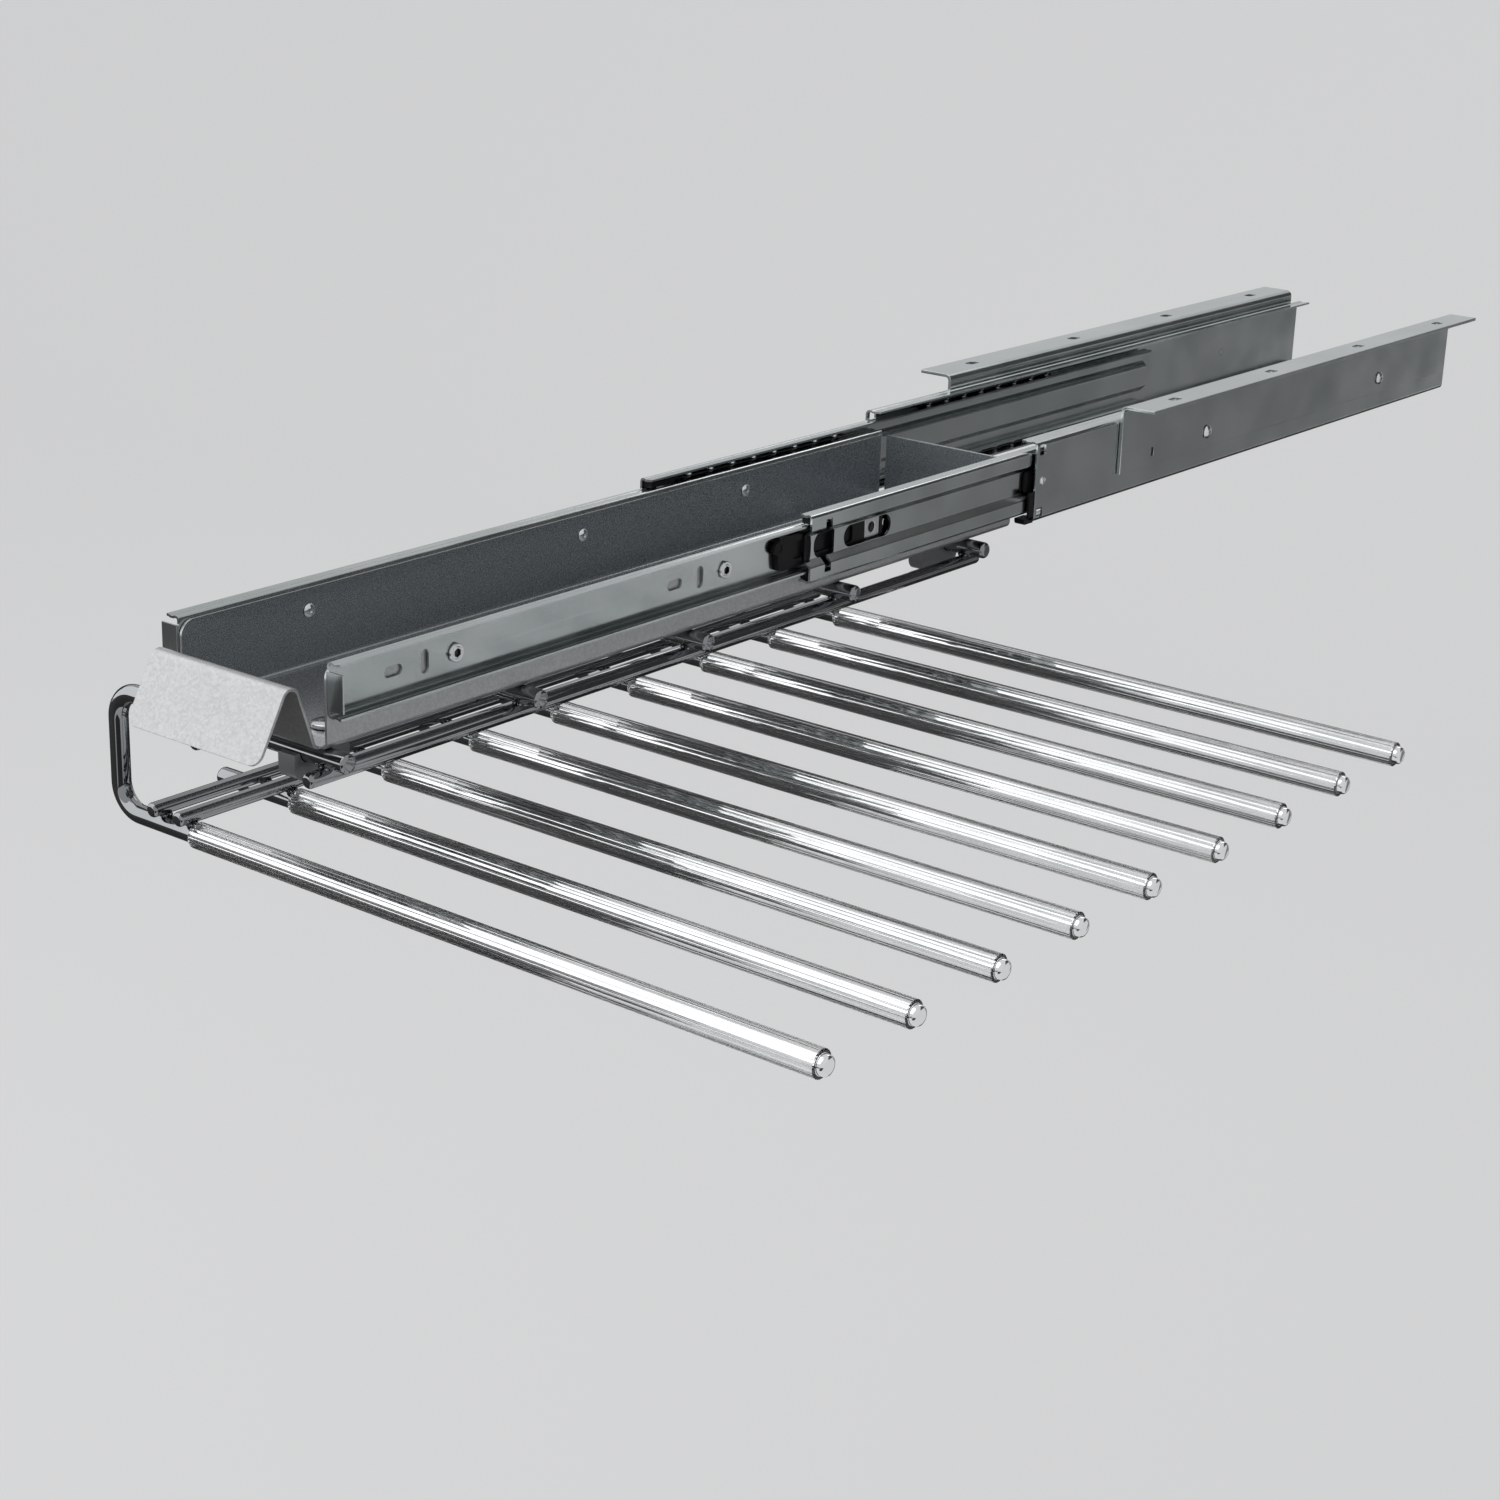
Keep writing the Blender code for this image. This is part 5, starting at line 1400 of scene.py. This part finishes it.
@dataclass
class Brackets:
    """The angles that carry the slides, with their screws."""

    sheet: float = 0.002
    bend: float = 0.003
    leg: float = 0.022
    drop: float = 0.0403
    stand_off: float = 0.013
    slot: Pair = (0.0104, 0.0052)
    slot_count: int = 4
    slot_start: float = 0.040
    slot_span: float = 0.350
    screw_hole: float = 0.0023
    screw_head: float = 0.0040

    def build(self, shop: Workshop) -> None:
        """Builds both brackets.

        Args:
            shop: Where finished objects are made.
        """
        layout = shop.layout
        half = self.sheet / 2
        for side in Side:
            wall_x = layout.seat(side, 0).x + side.value * self.stand_off
            seat = Seat(side, wall_x, layout.bracket_front, layout.mount[2])
            line = rounded([(half, -self.drop), (half, -half), (self.leg, -half)], (0, self.bend, 0), 10)
            body = Solid(f"bracket_{side.label}")
            body.prism(ribbon(line, self.sheet), 0, layout.bracket_length, seat.section)
            holes = Solid("holes")
            middle_x = seat.x + side.value * (self.leg + self.sheet) / 2
            for index in range(self.slot_count):
                y = seat.y + self.slot_start + index * self.slot_span / (self.slot_count - 1)
                outline = stadium(*self.slot, (y, middle_x))
                holes.prism(outline, seat.z - 0.005, seat.z + 0.003, lambda u, v, station: (v, u, station))
            holes.prism(block((0.0345, -0.0348), (0.0375, -0.0298)), -0.002, 0.004, seat.flat)
            screws = [Seat(side, wall_x, place, layout.slide_z) for place in layout.bracket_screws]
            for screw in screws:
                screw.bore(holes, self.screw_hole, (-0.002, 0.004), steps=24)
            shop.make(body, (Coat.ZINC,), Body.FIXED, (body.name,), cuts=(holes,), bevel=0.0003)
            for index, screw in enumerate(screws):
                self._screw(shop, screw, f"bracket_screw_{side.label}_{index + 1}")

    def _screw(self, shop: Workshop, seat: Seat, name: str) -> None:
        """A screw through a bracket."""
        layout = shop.layout
        top, shank, head = self.sheet + layout.gap, layout.screw_radius, self.screw_head
        profile = [(-layout.gap - layout.slide_sheet, shank), (top, shank), (top, head), (top + 0.0004, head + 0.0001)]
        profile += [(top + 0.002 * math.sin(a), head * math.cos(a)) for a in (0.35, 0.7, 1.0, 1.25)]
        recess = seat.bore(Solid("recess"), 0.0014, (top + 0.0008, top + 0.004), steps=6)
        shop.make(seat.turned(Solid(name), profile), (Coat.SCREW,), Body.FIXED, (name,), cuts=(recess,))


# Studio


@dataclass(frozen=True)
class Lamp:
    """One soft box: where it stands, what it points at, its size and the light that its face gives."""

    name: str
    place: Triple
    target: Triple
    width: float
    height: float
    radiance: float

    def build(self) -> None:
        """Builds the area lamp, pointed at its target."""
        light = bpy.data.lights.new(self.name, "AREA")
        light.shape = "RECTANGLE"
        light.size, light.size_y = self.width, self.height
        light.energy = self.radiance * math.pi * self.width * self.height
        item = linked(self.name, light)
        item.location = self.place
        item.rotation_euler = (Vector(self.target) - Vector(self.place)).to_track_quat("-Z", "Y").to_euler()
        item.visible_camera = False


@dataclass(frozen=True)
class Flag:
    """A dark cloth panel that only shows in gloss, given by two opposite corners."""

    name: str
    low: Triple
    high: Triple
    tone: float = 0.035
    roughness: float = 0.9

    def build(self) -> None:
        """Builds the panel."""
        low, high = Vector(self.low), Vector(self.high)
        flat = min(range(3), key=lambda axis: high[axis] - low[axis])
        first, second = (axis for axis in range(3) if axis != flat)
        corners = []
        for near, far in ((low, low), (high, low), (high, high), (low, high)):
            corner = low.copy()
            corner[first], corner[second] = near[first], far[second]
            corners.append(corner)
        solid = Solid(self.name.replace(" ", "_"))
        solid.bm.faces.new(solid.row(corners))
        item = linked(solid.name, solid.mesh())
        item.visible_camera = item.visible_diffuse = item.visible_shadow = False
        material, graph, shader = blank(self.name)
        tone = graph.span(graph.noise(Scale=400.0), 0.0, 1.0, self.tone * 0.8, self.tone * 1.2)
        graph.feed(shader, {"Base Color": tone, "Roughness": self.roughness})
        item.data.materials.append(material)
        item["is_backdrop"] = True


@dataclass
class Studio:
    """Backdrop, lamps, flags and camera."""

    paper: Triple = (0.72, 0.725, 0.73)
    paper_shade: float = 0.98
    paper_roughness: float = 0.9
    own_share: float = 0.7
    even_light: float = 0.6
    far_share: float = 0.91
    sweep: tuple[Pair, ...] = ((-6.0, -0.75), (2.6, -0.75), (2.6, 4.5))
    sweep_bend: float = 1.2
    sweep_half: float = 6.0
    focal_mm: float = 66.76
    sensor_mm: float = 36.0
    nearest: float = 0.01
    azimuth: float = 37.7523
    elevation: float = 19.266
    roll: float = 1.8882
    camera_place: Triple = (0.7905, -1.5879, 0.3341)
    lamps: tuple[Lamp, ...] = (
        Lamp("key", (-1.05, -1.40, 0.85), (0.0, -0.50, -0.10), 2.4, 2.8, 0.88),
        Lamp("back strip", (-0.20, 1.10, 1.20), (0.0, -0.40, 0.0), 1.0, 0.22, 2.2),
    )
    flags: tuple[Flag, ...] = (
        Flag("flag below", (-2.4, -2.8, -0.45), (-0.15, -0.10, -0.45), 0.04),
        Flag("flag under the rack", (-1.4, -0.5, -0.46), (0.35, 1.3, -0.46), 0.035),
        Flag("flag by the camera", (0.05, -3.2, -0.45), (1.8, -1.25, -0.45)),
        Flag("flag behind", (0.2, 1.9, 0.0), (4.0, 1.9, 2.6), 0.10),
        Flag("flag at the side", (0.75, 0.50, -0.75), (0.75, 2.3, -0.08), 0.30),
        Flag("flag on the left", (-2.2, -0.9, -0.44), (-2.2, 1.6, 0.55), 0.05),
    )

    def build(self) -> None:
        """Builds the backdrop, the lamps, the flags, the even light and the camera."""
        self._backdrop()
        for piece in (*self.lamps, *self.flags):
            piece.build()
        self._surround()
        self._camera()
        bpy.context.scene.view_settings.view_transform = "Standard"

    @staticmethod
    def _seen(graph: Graph) -> bpy.types.NodeSocket:
        """Gives 1 for the rays that show the backdrop: straight to the camera, by gloss or through clear plastic."""
        path = graph.add("ShaderNodeLightPath").outputs
        direct = graph.maths("MAXIMUM", path["Is Camera Ray"], path["Is Glossy Ray"])
        return graph.maths("MAXIMUM", direct, path["Is Transmission Ray"])

    def _backdrop(self) -> None:
        """A pale sheet of paper that curves up behind the rack."""
        solid = Solid("backdrop")
        line = rounded(self.sweep, (0, self.sweep_bend, 0), 24)
        ends = (solid.row((x, point.x, point.y) for point in line) for x in (self.sweep_half, -self.sweep_half))
        solid.strip(*ends)
        item = linked(solid.name, solid.mesh())
        material, graph, shader = blank("backdrop paper")
        tone = graph.noise(Scale=2.0, Detail=1.0)
        paper = graph.blend(tone, opaque(self.paper), opaque(self.paper, self.paper_shade))
        graph.feed(shader, {"Base Color": paper, "Roughness": self.paper_roughness})
        share = graph.maths("MULTIPLY", self._seen(graph), self.own_share)
        glow = graph.add("ShaderNodeEmission", {"Color": paper, "Strength": 1.0}).outputs["Emission"]
        surface = graph.add("ShaderNodeMixShader", {0: share, 1: shader.outputs["BSDF"], 2: glow})
        graph.feed(graph.tree.nodes["Material Output"], {"Surface": surface.outputs["Shader"]})
        item.data.materials.append(material)
        item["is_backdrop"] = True

    def _surround(self) -> None:
        """Even light from all sides, with the backdrop's tone all round."""
        world = bpy.data.worlds.new("even light")
        world.use_nodes = True
        graph = Graph(world.node_tree)
        light = opaque((self.even_light,) * 3)
        colour = graph.blend(self._seen(graph), light, opaque(self.paper, self.far_share))
        graph.feed(world.node_tree.nodes["Background"], {"Color": colour, "Strength": 1.0})
        bpy.context.scene.world = world

    def _camera(self) -> None:
        """The camera at the photograph's angle."""
        data = bpy.data.cameras.new("camera")
        data.lens, data.sensor_width, data.clip_start = self.focal_mm, self.sensor_mm, self.nearest
        azimuth, elevation, roll = (math.radians(value) for value in (self.azimuth, self.elevation, self.roll))
        level = math.cos(elevation)
        forward = Vector((-math.sin(azimuth) * level, math.cos(azimuth) * level, -math.sin(elevation)))
        right = Vector((math.cos(azimuth), math.sin(azimuth), 0))
        up = right.cross(forward)
        across = right * math.cos(roll) + up * math.sin(roll)
        above = up * math.cos(roll) - right * math.sin(roll)
        matrix = Matrix((across, above, -forward)).transposed().to_4x4()
        matrix.translation = self.camera_place
        item = linked("camera", data)
        item.matrix_world = matrix
        bpy.context.scene.camera = item


def write_size(cad_box: Sequence[Sequence[float]]) -> None:
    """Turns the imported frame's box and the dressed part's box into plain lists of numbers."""
    boxes = {"cad": cad_box, "visual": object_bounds()}
    plain = {name: [[float(value) for value in corner] for corner in box] for name, box in boxes.items()}
    LOG.info("wrote the boxes of %s", " and ".join(plain))


def main() -> None:
    """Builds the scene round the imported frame."""
    logging.basicConfig(level=logging.INFO)
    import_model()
    cad_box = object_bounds()
    shop = Workshop(Layout(), finishes())
    for assembly in (WireFrame(), Tray(), Slides(), Brackets()):
        LOG.info("building %s", type(assembly).__name__)
        assembly.build(shop)
    Studio().build()
    write_size(cad_box)


if __name__ == "__main__":
    main()
